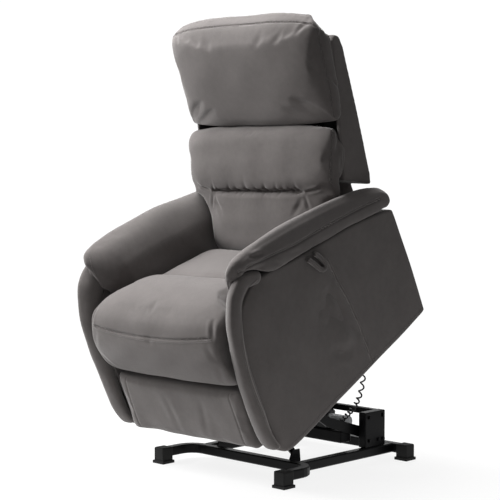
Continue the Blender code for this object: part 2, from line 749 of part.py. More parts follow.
def build_seat(chair):
    outline = [at_chair(*p) for p in (
        (-0.247, 0.262), (-0.247, 0.350), (-0.290, 0.392), (-0.400, 0.424), (-0.500, 0.446),
        (-0.560, 0.470), (-0.634, 0.486), (-0.704, 0.474), (-0.758, 0.430), (-0.782, 0.360),
        (-0.780, 0.285), (-0.764, 0.238), (-0.668, 0.238), (-0.668, 0.252),
    )]
    seat = pad("seat_cushion", outline, (-SEAT_HALF, SEAT_HALF), fabric, chair, 0.006)
    front = [at_chair(*p) for p in (
        (-0.664, 0.252), (-0.664, 0.468), (-0.704, 0.464), (-0.754, 0.424), (-0.776, 0.358),
        (-0.774, 0.288), (-0.756, 0.244), (-0.674, 0.244),
    )]
    wings = pad("seat_wings", front, (-SEAT_FRONT_HALF, SEAT_FRONT_HALF), fabric, chair, 0.006)
    boolean(seat, wings, "UNION")
    finish(seat, fabric)


def build_loop_and_pocket(chair):
    hinge = at_chair(-0.352, 0.448)
    x = CHAIR_HALF + 0.0075
    loop = pivot("pull_loop_axis", hinge, chair, x=x)
    ring = to_mesh(plate("pull_loop", [(hinge[0] - 0.022, hinge[1] - 0.004), (hinge[0] - 0.024, hinge[1] - 0.056),
                                       (hinge[0] - 0.012, hinge[1] - 0.070), (hinge[0] + 0.012, hinge[1] - 0.070),
                                       (hinge[0] + 0.024, hinge[1] - 0.056), (hinge[0] + 0.022, hinge[1] - 0.004)],
                         (x - 0.006, x + 0.006), fabric, loop))
    hole = [(hinge[0] - 0.016, hinge[1] - 0.010), (hinge[0] - 0.018, hinge[1] - 0.054),
            (hinge[0] - 0.010, hinge[1] - 0.063), (hinge[0] + 0.010, hinge[1] - 0.063),
            (hinge[0] + 0.018, hinge[1] - 0.054), (hinge[0] + 0.016, hinge[1] - 0.010)]
    boolean(ring, plate("loop_gap", hole, (x - 0.02, x + 0.02), fabric, loop), "DIFFERENCE")
    finish(ring, fabric)

    handset = box("hand_control", (0.3085, 0.288, 0.215), (0.3290, 0.338, 0.360), black_plastic, chair,
                  rounding=0.005)
    for name, z in (("raise_button", 0.318), ("lower_button", 0.282)):
        axis = pivot(name + "_axis", (0.313, z), chair, x=0.329)
        box(name, (0.3264, 0.301, z - 0.012), (0.3325, 0.325, z + 0.012), button_plastic, axis, rounding=0.001)
        well = box("button_well", (0.3245, 0.3005, z - 0.0125), (0.340, 0.3255, z + 0.0125), black_plastic,
                   chair)
        boolean(handset, well, "DIFFERENCE")
    return handset


# ---------------------------------------------------------------- backrest
def build_back(chair):
    back = pivot("back_axis", BACK_HINGE, chair)
    wall = 0.013

    wide = [at_chair(*p) for p in (
        (-0.100, 0.546), (0.006, 0.468), (0.020, 0.500), (0.062, 0.700), (0.100, 0.900), (0.098, 0.935),
        (0.080, 0.950), (0.056, 0.940),
    )]
    narrow = [at_chair(*p) for p in (
        (-0.172, 0.330), (-0.150, 0.300), (-0.075, 0.250), (-0.014, 0.236), (0.006, 0.244), (0.010, 0.300),
        (0.012, 0.470), (0.030, 0.600), (-0.058, 0.620), (-0.102, 0.552), (-0.142, 0.470),
    )]
    shell = to_mesh(plate("back_shell", wide, (-BACK_HALF, BACK_HALF), fabric, back))
    boolean(shell, plate("shell_lower", narrow, (-0.2285, 0.2285), fabric, back), "UNION")
    hollow_wide = [at_chair(*p) for p in (
        (-0.150, 0.562), (-0.100, 0.562), (0.000, 0.4885), (0.008, 0.505), (0.049, 0.702), (0.087, 0.900),
        (0.082, 0.930), (0.050, 0.926), (-0.050, 0.926),
    )]
    inside = BACK_HALF - wall
    boolean(shell, plate("shell_hollow", hollow_wide, (-inside, inside), fabric, back), "DIFFERENCE")
    hollow_narrow = [at_chair(*p) for p in (
        (-0.200, 0.270), (-0.135, 0.270), (-0.120, 0.298), (-0.070, 0.264), (-0.016, 0.250), (-0.003, 0.300),
        (-0.001, 0.470), (0.020, 0.640), (-0.130, 0.640),
    )]
    inside = 0.2285 - wall
    boolean(shell, plate("shell_hollow_low", hollow_narrow, (-inside, inside), fabric, back), "DIFFERENCE")
    finish(shell, fabric)

    low, bend, top = (-0.154, 0.345), (-0.040, 0.530), (0.060, 0.895)
    frame_x = 0.196
    corners = [(frame_x, *at_chair(*low)), (frame_x, *at_chair(*bend)), (frame_x, *at_chair(*top))]
    corners += [(-x, y, z) for x, y, z in reversed(corners)]
    frame = to_mesh(tube("back_frame", rounded_path(corners, 0.03, 4), 0.011, black_steel, back, resolution=2))
    for sign in (1, -1):
        arm = plate("hinge_arm", hull_outline(BACK_HINGE, at_chair(-0.150, 0.352), 0.013),
                    side_range(sign, (0.1965, 0.2025)), black_steel, back)
        boss = rod("hinge_boss", (sign * 0.1975, *BACK_HINGE), (sign * 0.2305, *BACK_HINGE), 0.012,
                   black_steel, back)
        bore = rod("hinge_bore", (sign * 0.190, *BACK_HINGE), (sign * 0.24, *BACK_HINGE), PIN_R + GAP,
                   black_steel, back)
        boolean(frame, arm, "UNION")
        boolean(frame, boss, "UNION")
        boolean(frame, bore, "DIFFERENCE")
    for share in (0.35, 0.75):
        place = at_chair(bend[0] + (top[0] - bend[0]) * share, bend[1] + (top[1] - bend[1]) * share)
        slat = rod("back_slat", (-frame_x, *place), (frame_x, *place), 0.007, black_steel, back)
        boolean(frame, slat, "UNION")
    finish(frame, black_steel)
    return back


def build_back_cushions(back):
    head = [at_chair(*p) for p in (
        (-0.032, 0.722), (0.045, 0.915), (0.050, 0.940), (0.064, 0.958), (0.072, 0.985), (0.066, 1.040),
        (0.050, 1.056), (0.022, 1.054), (-0.008, 1.030), (-0.024, 0.980), (-0.040, 0.889), (-0.056, 0.800),
        (-0.062, 0.735),
    )]
    pad("headrest_cushion", head, (-0.303, 0.303), fabric, back)

    upper = [at_chair(*p) for p in (
        (-0.146, 0.560), (-0.099, 0.562), (-0.035, 0.716), (-0.062, 0.721), (-0.096, 0.694),
        (-0.122, 0.6305), (-0.148, 0.585),
    )]
    pad("lumbar_upper_cushion", upper, (-0.298, 0.298), fabric, back)

    lower = [at_chair(*p) for p in (
        (-0.236, 0.332), (-0.188, 0.335), (-0.180, 0.350), (-0.150, 0.470), (-0.124, 0.553),
        (-0.140, 0.553), (-0.163, 0.510), (-0.190, 0.460), (-0.238, 0.385),
    )]
    pad("lumbar_lower_cushion", lower, (-0.224, 0.224), fabric, back)


# ---------------------------------------------------------------- footrest
def build_footrest(chair):
    crank = pivot("footrest_crank_axis", FOOT_PIVOT, chair)
    link = pivot("footrest_link_axis", FOOT_KNEE, crank)
    panel = pivot("footrest_panel_axis", FOOT_PANEL_PIVOT, link)
    pin = 0.005

    def crank_plate(name, sign):
        bar = to_mesh(plate(name, hull_outline(FOOT_PIVOT, FOOT_KNEE, 0.010), side_range(sign, (0.222, 0.227)),
                            zinc, crank, holes=[(FOOT_PIVOT, pin + GAP)]))
        knee = rod("knee_pin", (sign * 0.213, *FOOT_KNEE), (sign * 0.2245, *FOOT_KNEE), pin, zinc, crank)
        boolean(bar, knee, "UNION")
        finish(bar, zinc)

    both_sides("footrest_crank", crank_plate)

    def link_plate(name, sign):
        plate(name, hull_outline(FOOT_KNEE, FOOT_PANEL_PIVOT, 0.010), side_range(sign, (0.2145, 0.2195)), zinc,
              link, holes=[(FOOT_KNEE, pin + GAP), (FOOT_PANEL_PIVOT, pin + GAP)])

    both_sides("footrest_link", link_plate)

    low, high = at_chair(-0.727, 0.040), at_chair(-0.716, 0.208)
    board = box("footrest_board", (-0.250, *low), (0.250, *high), wood, panel)
    for sign in (1, -1):
        y, z = FOOT_PANEL_PIVOT
        ear = plate("panel_ear", [at_chair(-0.722, 0.080), at_chair(-0.722, 0.165), (y - 0.002, z + 0.012),
                                  (y + 0.011, z + 0.004), (y + 0.008, z - 0.010)],
                    side_range(sign, (0.2065, 0.2115)), zinc, panel)
        boolean(board, ear, "UNION")
        boolean(board, rod("panel_pin", (sign * 0.208, y, z), (sign * 0.2205, y, z), pin, zinc, panel), "UNION")
    finish(board, wood)

    cushion = [at_chair(*p) for p in (
        (-0.7275, 0.030), (-0.7275, 0.216), (-0.745, 0.226), (-0.762, 0.218), (-0.772, 0.180), (-0.779, 0.100),
        (-0.785, 0.050), (-0.780, 0.026), (-0.760, 0.020),
    )]
    pad("footrest_cushion", cushion, (-0.276, 0.276), fabric, panel)


# ---------------------------------------------------------------- curly cord
def build_cord(plug, chair):
    """The hand control's curly lead, as the tube that its turns fill, and the grommet it leaves by."""
    grommet = at_chair(-0.222, 0.034)
    rod("cord_grommet", (BOARD_X[0] - 0.010, *grommet), (BOARD_X[0] - GAP, *grommet), 0.011, rubber, chair)
    y, z = raised(grommet)
    start = (BOARD_X[0] - 0.0106, y, z)
    end = (plug[0] + 2 * GAP, plug[1], plug[2])
    route = [
        (0.273, y, z),
        (0.263, y + 0.003, z - 0.006),
        (0.254, 0.388, 0.372),
        (0.246, 0.398, 0.320),
        (0.236, 0.404, 0.270),
        (0.222, 0.405, 0.225),
        (0.203, 0.403, 0.190),
        (0.179, 0.400, 0.163),
        (0.153, plug[1] + 0.002, plug[2] + 0.016),
        (0.133, *plug[1:]),
    ]
    path = [start, *smooth_path(route, 36), end]
    tube("curly_cord", path, CORD_TURN_R, black_plastic, None, resolution=2)


clear_scene()
parts = make_collection(PARTS)
cutters = make_collection(CUTTERS)
fabric = material("upholstery", (0.150, 0.137, 0.133), 0.92)
black_steel = material("black_steel", (0.012, 0.012, 0.013), 0.42, 0.6)
zinc = material("zinc_steel", (0.45, 0.45, 0.46), 0.35, 1.0)
aluminium = material("grey_metal", (0.52, 0.53, 0.54), 0.40, 0.9)
black_plastic = material("black_plastic", (0.015, 0.015, 0.016), 0.45)
button_plastic = material("button_plastic", (0.35, 0.35, 0.36), 0.5)
rubber = material("foot_rubber", (0.014, 0.014, 0.014), 0.75)
wood = material("plywood", (0.48, 0.35, 0.21), 0.75)

build_base()
plug_place = build_lift()
build_actuator()
chair_body = pivot("chair_axis", LIFT_PIVOT, tilt=TILT)
build_seat_frame(chair_body)
build_sides(chair_body)
build_seat(chair_body)
build_loop_and_pocket(chair_body)
back_body = build_back(chair_body)
build_back_cushions(back_body)
build_footrest(chair_body)
build_cord(plug_place, chair_body)

# the origin is under the middle of the raised chair
for thing in (*parts.objects, *cutters.objects):
    if not thing.parent:
        thing.location.x -= MIDDLE[0]
        thing.location.y -= MIDDLE[1]
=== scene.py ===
"""Looks of the power lift recliner: upholstery, curly lead, materials, light and camera.

Upholstery is shaped in the chair's own level frame, where the chair sits on the floor, and each
finished mesh is then tipped with the raised chair. A point of that frame is (x, y, z) in metres,
y and z measured from the rear bottom corner of the side panels.
"""

import json
import math

import bmesh
import bpy
import numpy as np
from mathutils import Matrix, Vector
from mathutils.bvhtree import BVHTree


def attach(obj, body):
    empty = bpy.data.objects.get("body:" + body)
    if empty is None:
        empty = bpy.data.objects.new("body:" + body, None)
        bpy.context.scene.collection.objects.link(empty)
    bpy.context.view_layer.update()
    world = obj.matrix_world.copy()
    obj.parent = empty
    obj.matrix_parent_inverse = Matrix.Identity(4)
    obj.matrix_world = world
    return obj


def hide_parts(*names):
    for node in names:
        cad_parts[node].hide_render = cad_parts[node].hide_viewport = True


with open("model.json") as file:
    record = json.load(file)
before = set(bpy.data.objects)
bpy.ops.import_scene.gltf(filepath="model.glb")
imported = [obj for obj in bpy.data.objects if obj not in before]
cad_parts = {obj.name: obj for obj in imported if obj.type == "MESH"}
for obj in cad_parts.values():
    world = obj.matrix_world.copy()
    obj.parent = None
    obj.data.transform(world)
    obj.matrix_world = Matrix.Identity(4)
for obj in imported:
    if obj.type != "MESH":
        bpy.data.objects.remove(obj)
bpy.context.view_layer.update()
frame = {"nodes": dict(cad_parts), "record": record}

# ---------------------------------------------------------------- where the chair stands
TILT = math.radians(30.0)
POLE = (-0.2590, 0.2346)  # (y, z) of the point that the tipped chair turns about, as in the CAD
MIDDLE = (0.0032, 0.1560)  # (x, y) of the row frame's origin in the CAD's own frame
BACK_CORNER = (0.600, 0.045)  # (y, z) of the level frame's origin in the CAD's own frame
GAP = 0.0003  # clearance between touching pieces

# the chair's level frame to the row frame
STANDING = (
    Matrix.Translation((-MIDDLE[0], POLE[0] - MIDDLE[1], POLE[1]))
    @ Matrix.Rotation(TILT, 4, "X")
    @ Matrix.Translation((0, BACK_CORNER[0] - POLE[0], BACK_CORNER[1] - POLE[1]))
)
VOXEL = 0.0055
VOXEL_ROLL = 0.0042
VOXEL_FINE = 0.004
CLOTH_FRAMES = 20
PIPING_R = 0.0015
STITCH_R = 0.0006


# ---------------------------------------------------------------- curves and outlines
def spline(points, count, closed=False):
    """Evenly spaced points along a smooth curve through the given ones."""
    knots = np.array(points, float)
    n = len(knots)
    fine = []
    for i in range(n if closed else n - 1):
        if closed:
            a, b, c, d = (knots[(i + k - 1) % n] for k in range(4))
        else:
            b, c = knots[i], knots[i + 1]
            a = knots[i - 1] if i else 2 * b - c
            d = knots[i + 2] if i + 2 < n else 2 * c - b
        for t in np.linspace(0, 1, 16, endpoint=False):
            fine.append(
                0.5 * (2 * b + (c - a) * t + (2 * a - 5 * b + 4 * c - d) * t**2
                       + (3 * b - a - 3 * c + d) * t**3)
            )
    fine.append(knots[0] if closed else knots[-1])
    fine = np.array(fine)
    length = np.concatenate([[0], np.cumsum(np.linalg.norm(np.diff(fine, axis=0), axis=1))])
    where = np.linspace(0, length[-1], count, endpoint=not closed)
    return np.stack([np.interp(where, length, fine[:, k]) for k in range(fine.shape[1])], 1)


def ease(values, knots):
    """A smooth function through (place, value) knots."""
    places, heights = zip(*knots)
    where = np.clip((np.asarray(values) - places[0]) / (places[-1] - places[0]), 0, 1)
    curve = spline(np.stack([places, heights], 1), 200)
    at = (curve[:, 0] - places[0]) / (places[-1] - places[0])
    return np.interp(where, at, curve[:, 1])


def mesh_from_rings(name, rings):
    """A closed tube-like mesh through rings of points, its two ends filled."""
    work = bmesh.new()
    verts = [[work.verts.new(tuple(p)) for p in ring] for ring in rings]
    count = len(rings[0])
    for low, high in zip(verts, verts[1:]):
        for i in range(count):
            j = (i + 1) % count
            work.faces.new((low[i], low[j], high[j], high[i]))
    work.faces.new(verts[0])
    work.faces.new(verts[-1][::-1])
    bmesh.ops.recalc_face_normals(work, faces=work.faces)
    data = bpy.data.meshes.new(name)
    work.to_mesh(data)
    work.free()
    return add_piece(name, data)


def slab(name, path, half, thick, *, crown, power, ends, stations, around, centre=0.0, lean=0.0, outer=1):
    """A pad along a path in side view.

    The path runs from the top or the rear, so that the outer face lies on its front side. half, thick
    and lean are (share of the path, metres) knots or numbers. The face falls away by crown towards
    its two sides, and by lean towards the side away from outer. ends are the rounded lengths at the
    path's start and end, and a higher power gives squarer sides.
    """
    line = spline(path, stations)
    ahead = np.gradient(line, axis=0)
    ahead /= np.linalg.norm(ahead, axis=1)[:, None]
    out = np.stack([ahead[:, 1], -ahead[:, 0]], 1)
    share = np.linspace(0, 1, stations)
    length = np.linalg.norm(np.diff(line, axis=0), axis=1).sum()
    width, depth, slope = (
        ease(share, knots) if np.iterable(knots) else np.full(stations, knots)
        for knots in (half, thick, lean)
    )
    turn = np.linspace(0, 2 * np.pi, around, endpoint=False)
    across = np.sign(np.cos(turn)) * np.abs(np.cos(turn)) ** (2 / power)
    through = np.sign(np.sin(turn)) * np.abs(np.sin(turn)) ** (2 / power)
    away = ((1 - outer * across) / 2) ** 1.6
    rings = []
    for i in range(stations):
        near = min(1.0, share[i] * length / ends[0], (1 - share[i]) * length / ends[1])
        round_off = max(1 - (1 - near) ** 2.6, 0.0) ** (1 / 2.6)
        half_deep = depth[i] / 2 * max(round_off, 0.06)
        wide = width[i] - (1 - round_off) * min(width[i] * 0.5, depth[i] * 0.2)
        lift = through * half_deep - depth[i] / 2 - crown * np.abs(across) ** 3 * (through > 0)
        lift = lift - slope[i] * away
        x = centre + across * wide
        rings.append(np.stack([x, line[i, 0] + out[i, 0] * lift, line[i, 1] + out[i, 1] * lift], 1))
    return mesh_from_rings(name, rings)


def inward(outline, distance):
    """The closed outline moved in by a distance, evenly enough for a rounded rim."""
    before, after = np.roll(outline, 1, axis=0), np.roll(outline, -1, axis=0)
    along = after - before
    along /= np.linalg.norm(along, axis=1)[:, None]
    side = np.stack([-along[:, 1], along[:, 0]], 1)
    area = np.sum(outline[:, 0] * after[:, 1] - after[:, 0] * outline[:, 1])
    return outline + side * distance * (1 if area > 0 else -1)


def panel(name, outline, x_low, x_high, rim, count=150, steps=5):
    """A side-view outline given a thickness in x, its two rims rounded."""
    edge = spline(outline, count, closed=True)
    quarter = [math.pi / 2 * i / steps for i in range(steps + 1)]
    rings = []
    for turn in quarter + quarter[::-1]:
        inset = rim * (1 - math.cos(turn))
        x = x_low + inset if len(rings) <= steps else x_high - inset
        ring = inward(edge, rim * (1 - math.sin(turn)))
        rings.append(np.column_stack([np.full(len(ring), x), ring]))
    return mesh_from_rings(name, rings)


# ---------------------------------------------------------------- mesh work
def coords(piece):
    flat = np.empty(len(piece.data.vertices) * 3)
    piece.data.vertices.foreach_get("co", flat)
    return flat.reshape(-1, 3)


def set_coords(piece, points):
    piece.data.vertices.foreach_set("co", np.ascontiguousarray(points, float).ravel())
    piece.data.update()


def normals(piece):
    flat = np.empty(len(piece.data.vertices) * 3)
    piece.data.vertex_normals.foreach_get("vector", flat)
    return flat.reshape(-1, 3)


def apply_modifiers(piece):
    graph = bpy.context.evaluated_depsgraph_get()
    data = bpy.data.meshes.new_from_object(piece.evaluated_get(graph))
    old = piece.data
    piece.modifiers.clear()
    piece.data = data
    bpy.data.meshes.remove(old)


def remesh(piece, voxel):
    step = piece.modifiers.new("remesh", "REMESH")
    step.mode = "VOXEL"
    step.voxel_size = voxel
    apply_modifiers(piece)


def relax(piece, rounds):
    step = piece.modifiers.new("relax", "SMOOTH")
    step.iterations = rounds
    step.factor = 0.5
    apply_modifiers(piece)


def subdivide(piece):
    step = piece.modifiers.new("subdivide", "SUBSURF")
    step.levels = step.render_levels = 1
    apply_modifiers(piece)


def puff(piece, pressure, cap, held, voxel=VOXEL):
    """Blows a pad up as stuffed cloth. held says, from its points, which of them stay.

    No point moves further than cap.
    """
    remesh(piece, voxel)
    relax(piece, 4)
    start = coords(piece)
    cloth = piece.modifiers.new("cloth", "CLOTH")
    rules = cloth.settings
    rules.quality = 4
    rules.mass = 0.3
    rules.tension_stiffness = rules.compression_stiffness = 12
    rules.shear_stiffness = 5
    rules.bending_stiffness = 8.0
    rules.use_pressure = True
    rules.uniform_pressure_force = pressure
    rules.effector_weights.gravity = 0
    cloth.collision_settings.use_collision = False
    pinned = piece.vertex_groups.new(name="held")
    pinned.add(np.flatnonzero(held(start)).tolist(), 1.0, "REPLACE")
    rules.vertex_group_mass = "held"
    cloth.point_cache.frame_start = 1
    cloth.point_cache.frame_end = CLOTH_FRAMES
    scene = bpy.context.scene
    for step in range(1, CLOTH_FRAMES + 1):
        scene.frame_set(step)
    shape = piece.evaluated_get(bpy.context.evaluated_depsgraph_get()).to_mesh()
    blown = np.empty(len(shape.vertices) * 3)
    shape.vertices.foreach_get("co", blown)
    blown = blown.reshape(-1, 3)
    piece.modifiers.clear()
    scene.frame_set(1)
    move = blown - start
    size = np.linalg.norm(move, axis=1)[:, None]
    move *= np.minimum(1, cap / np.maximum(size, 1e-9))
    set_coords(piece, start + np.nan_to_num(move))
    relax(piece, 3)


def place_on_path(points, path):
    """For each point, how far along a path it is and how far from it, then the path's length."""
    best = np.full(len(points), np.inf)
    along = np.zeros(len(points))
    run = 0.0
    for a, b in zip(path, path[1:]):
        span = b - a
        length = np.linalg.norm(span)
        t = np.clip(((points - a) @ span) / length**2, 0, 1)
        away = np.linalg.norm(points - (a + t[:, None] * span), axis=1)
        near = away < best
        best[near] = away[near]
        along[near] = (run + t * length)[near]
        run += length
    return along, best, run


def snap(piece, path):
    """The path moved onto the piece's surface, and the outward direction at each point."""
    data = piece.data
    tree = BVHTree.FromPolygons([v.co for v in data.vertices], [p.vertices for p in data.polygons])
    on, out = [], []
    for place in path:
        hit, normal, _, _ = tree.find_nearest(Vector(place))
        on.append(hit)
        out.append(normal)
    return np.array(on), np.array(out)


def groove(piece, path, depth, width, fade=0.0):
    """Sinks a sewn channel along a path near the surface. fade is the shallower length at each end."""
    path, _ = snap(piece, path)
    points = coords(piece)
    along, away, run = place_on_path(points, path)
    ends = np.clip(np.minimum(along, run - along) / fade, 0, 1) if fade else 1.0
    sink = depth * np.exp(-((away / width) ** 2)) * ends
    set_coords(piece, points - normals(piece) * sink[:, None])


def gathers(piece, path, seed, spacing, depth, reach, thin, side):
    """Small folds that run out of a seam, at uneven places along it, on one side of it."""
    path, _ = snap(piece, path)
    points = coords(piece)
    along, away, run = place_on_path(points, path)
    chance = np.random.default_rng(seed)
    sink = np.zeros(len(points))
    place = spacing * chance.uniform(0.2, 0.8)
    while place < run:
        lean = chance.uniform(-0.35, 0.35)
        length = reach * chance.uniform(0.5, 1.3)
        strength = depth * chance.uniform(0.4, 1.0)
        line = np.exp(-(((along - place) - lean * away) / (thin + 0.12 * away)) ** 2)
        sink += strength * line * np.exp(-((away / length) ** 2))
        place += spacing * chance.uniform(0.55, 1.5)
    set_coords(piece, points - normals(piece) * (sink * side(points))[:, None])


def crease(piece, start, end, depth, width):
    """One soft fold from a point to another: a valley with a low ridge beside it."""
    path = spline([start, (np.array(start) + np.array(end)) / 2, end], 12)
    path, _ = snap(piece, path)
    points = coords(piece)
    along, away, run = place_on_path(points, path)
    fade = np.sin(np.pi * np.clip(along / run, 0, 1)) ** 0.7
    valley = np.exp(-((away / width) ** 2))
    ridge = 0.4 * np.exp(-(((away - 1.9 * width) / width) ** 2))
    set_coords(piece, points - normals(piece) * (depth * fade * (valley - ridge))[:, None])


def dimple(piece, centre, radius, depth):
    """A soft hollow, or a swelling if depth is negative."""
    points = coords(piece)
    away = np.linalg.norm(points - np.array(centre), axis=1)
    set_coords(piece, points - normals(piece) * (depth * np.exp(-((away / radius) ** 2)))[:, None])


def ripple(piece, seed, size, depth):
    """The slight unevenness of stuffed fabric, as a sum of waves about size long."""
    points = coords(piece)
    chance = np.random.default_rng(seed)
    wave = np.zeros(len(points))
    for _ in range(7):
        direction = chance.normal(size=3)
        direction /= np.linalg.norm(direction)
        wave += np.sin(points @ direction * 2 * np.pi / (size * chance.uniform(0.6, 1.7))
                       + chance.uniform(0, 2 * np.pi))
    set_coords(piece, points + normals(piece) * (wave * depth / 2.6)[:, None])


# ---------------------------------------------------------------- materials
def shader_of(material):
    return material.node_tree.nodes["Principled BSDF"]


def new_material(name):
    material = bpy.data.materials.new(name)
    material.use_nodes = True
    return material


def link(material, source, target):
    material.node_tree.links.new(source, target)


def add_node(material, kind, **values):
    node = material.node_tree.nodes.new(kind)
    for key, value in values.items():
        if key in node.inputs.keys():
            node.inputs[key].default_value = value
        else:
            setattr(node, key, value)
    return node


def tinted(colour, factor):
    return (*[min(1.0, c * factor) for c in colour], 1)


def ramp(material, source, dark, light, low=0.0, high=1.0):
    """A texture's values turned into colours between dark and light."""
    node = add_node(material, "ShaderNodeValToRGB")
    for element, place, colour in zip(node.color_ramp.elements, (low, high), (dark, light)):
        element.position = place
        element.color = colour
    link(material, source, node.inputs["Fac"])
    return node.outputs["Color"]


def roughen(material, source, strength, distance):
    """A texture's values as fine relief."""
    bump = add_node(material, "ShaderNodeBump", Strength=strength, Distance=distance)
    link(material, source, bump.inputs["Height"])
    link(material, bump.outputs["Normal"], shader_of(material).inputs["Normal"])


def fabric_material(name, colour, nap=1.0):
    """Napped microfibre: short fibres, faint pressed and brushed patches, a soft edge sheen."""
    material = new_material(name)
    shader = shader_of(material)
    shader.inputs["Roughness"].default_value = 0.88
    shader.inputs["Sheen Weight"].default_value = 0.35
    shader.inputs["Sheen Roughness"].default_value = 0.45
    shader.inputs["Sheen Tint"].default_value = (0.95, 0.93, 0.92, 1)
    shader.inputs["Specular IOR Level"].default_value = 0.25
    place = add_node(material, "ShaderNodeTexCoord")
    patches = add_node(material, "ShaderNodeTexNoise", Scale=9.0, Detail=5.0, Roughness=0.62)
    brushed = add_node(material, "ShaderNodeTexNoise", Scale=46.0, Detail=6.0, Roughness=0.7)
    fibres = add_node(material, "ShaderNodeTexNoise", Scale=1500.0, Detail=3.0, Roughness=0.7)
    pebbles = add_node(material, "ShaderNodeTexVoronoi", Scale=620.0)
    for texture in (patches, brushed, fibres, pebbles):
        link(material, place.outputs["Object"], texture.inputs["Vector"])
    mixed = add_node(material, "ShaderNodeMix", data_type="FLOAT")
    mixed.inputs["Factor"].default_value = 0.45
    link(material, patches.outputs["Fac"], mixed.inputs["A"])
    link(material, brushed.outputs["Fac"], mixed.inputs["B"])
    shades = ramp(material, mixed.outputs["Result"], tinted(colour, 0.84), tinted(colour, 1.16), 0.30, 0.72)
    grain = ramp(material, fibres.outputs["Fac"], (0.55, 0.55, 0.55, 1), (1.3, 1.3, 1.3, 1), 0.30, 0.70)
    speckle = add_node(material, "ShaderNodeMix", data_type="RGBA", blend_type="MULTIPLY")
    speckle.inputs["Factor"].default_value = 0.30
    link(material, shades, speckle.inputs["A"])
    link(material, grain, speckle.inputs["B"])
    link(material, speckle.outputs["Result"], shader.inputs["Base Color"])
    height = add_node(material, "ShaderNodeMath", operation="ADD")
    link(material, fibres.outputs["Fac"], height.inputs[0])
    link(material, pebbles.outputs["Distance"], height.inputs[1])
    roughen(material, height.outputs["Value"], 0.28 * nap, 0.0006)
    return material


def thread_material(name, colour):
    """Twisted sewing thread: short slanting bumps along it."""
    material = new_material(name)
    shader = shader_of(material)
    shader.inputs["Roughness"].default_value = 0.7
    place = add_node(material, "ShaderNodeTexCoord")
    twist = add_node(material, "ShaderNodeTexWave", Scale=220.0, Distortion=1.5)
    link(material, place.outputs["Object"], twist.inputs["Vector"])
    shades = ramp(material, twist.outputs["Fac"], tinted(colour, 0.7), tinted(colour, 1.2))
    link(material, shades, shader.inputs["Base Color"])
    roughen(material, twist.outputs["Fac"], 0.5, 0.0004)
    return material


def hard_material(name, colour, roughness, grain_scale, grain, metallic=0.0, specular=0.5):
    """Painted metal, plating or plastic: uneven roughness, a fine grain and faint colour change."""
    material = new_material(name)
    shader = shader_of(material)
    shader.inputs["Metallic"].default_value = metallic
    shader.inputs["Specular IOR Level"].default_value = specular
    place = add_node(material, "ShaderNodeTexCoord")
    wear = add_node(material, "ShaderNodeTexNoise", Scale=14.0, Detail=6.0, Roughness=0.65)
    fine = add_node(material, "ShaderNodeTexNoise", Scale=grain_scale, Detail=2.0)
    for texture in (wear, fine):
        link(material, place.outputs["Object"], texture.inputs["Vector"])
    shades = ramp(material, wear.outputs["Fac"], tinted(colour, 0.8), tinted(colour, 1.2), 0.3, 0.7)
    link(material, shades, shader.inputs["Base Color"])
    rough = add_node(material, "ShaderNodeMapRange")
    rough.inputs["To Min"].default_value = roughness - 0.12
    rough.inputs["To Max"].default_value = roughness + 0.12
    link(material, wear.outputs["Fac"], rough.inputs["Value"])
    link(material, rough.outputs["Result"], shader.inputs["Roughness"])
    roughen(material, fine.outputs["Fac"], grain, 0.0004)
    return material


def wood_material(name):
    """Raw plywood: long fine grain in two browns."""
    material = new_material(name)
    shader = shader_of(material)
    shader.inputs["Roughness"].default_value = 0.78
    place = add_node(material, "ShaderNodeTexCoord")
    stretch = add_node(material, "ShaderNodeMapping")
    stretch.inputs["Scale"].default_value = (30, 3, 60)
    link(material, place.outputs["Object"], stretch.inputs["Vector"])
    grain = add_node(material, "ShaderNodeTexNoise", Scale=3.0, Detail=8.0, Distortion=0.6)
    link(material, stretch.outputs["Vector"], grain.inputs["Vector"])
    shades = ramp(material, grain.outputs["Fac"], (0.36, 0.24, 0.13, 1), (0.58, 0.44, 0.28, 1), 0.35, 0.65)
    link(material, shades, shader.inputs["Base Color"])
    roughen(material, grain.outputs["Fac"], 0.2, 0.001)
    return material


fabric = fabric_material("microfibre", (0.100, 0.090, 0.087))
# the piping is the cover's own fabric, but tinted about twice as light: a painted highlight along the seam's
# folded edge
piping_highlight_fabric = fabric_material("microfibre_piping_painted_highlight", (0.195, 0.178, 0.173), 0.6)
thread = thread_material("sewing_thread", (0.185, 0.170, 0.165))
steel_paint = hard_material("satin_black_paint", (0.0025, 0.0025, 0.003), 0.40, 900.0, 0.12, specular=0.12)
zinc_plate = hard_material("zinc_plating", (0.46, 0.46, 0.47), 0.34, 700.0, 0.08, metallic=1.0)
grey_paint = hard_material("grey_enamel", (0.40, 0.41, 0.42), 0.42, 700.0, 0.08, metallic=0.3)
black_moulding = hard_material("black_moulding", (0.010, 0.010, 0.011), 0.46, 1400.0, 0.25, specular=0.3)
lead_rubber = hard_material("lead_sheath", (0.008, 0.008, 0.009), 0.40, 800.0, 0.05, specular=0.3)
grey_moulding = hard_material("grey_moulding", (0.33, 0.33, 0.34), 0.5, 1400.0, 0.2)
foot_rubber = hard_material("foot_rubber", (0.009, 0.009, 0.009), 0.72, 500.0, 0.4, specular=0.25)
plywood = wood_material("plywood")
CAD_LOOKS = {
    "black_steel": steel_paint, "zinc_steel": zinc_plate, "grey_metal": grey_paint,
    "black_plastic": black_moulding, "button_plastic": grey_moulding, "foot_rubber": foot_rubber,
    "plywood": plywood, "upholstery": fabric,
}


def dress_cad_nodes():
    """Every CAD node gets its slot's look, but the side boards are wrapped in the cover's fabric."""
    slots = {row["node"]: row["material_slot"] for row in frame["record"]["subparts"]}
    for name, node in frame["nodes"].items():
        look = fabric if name.startswith("side_board") else CAD_LOOKS[slots[name]]
        if not node.material_slots:
            node.data.materials.append(look)
        for place in node.material_slots:
            place.material = look


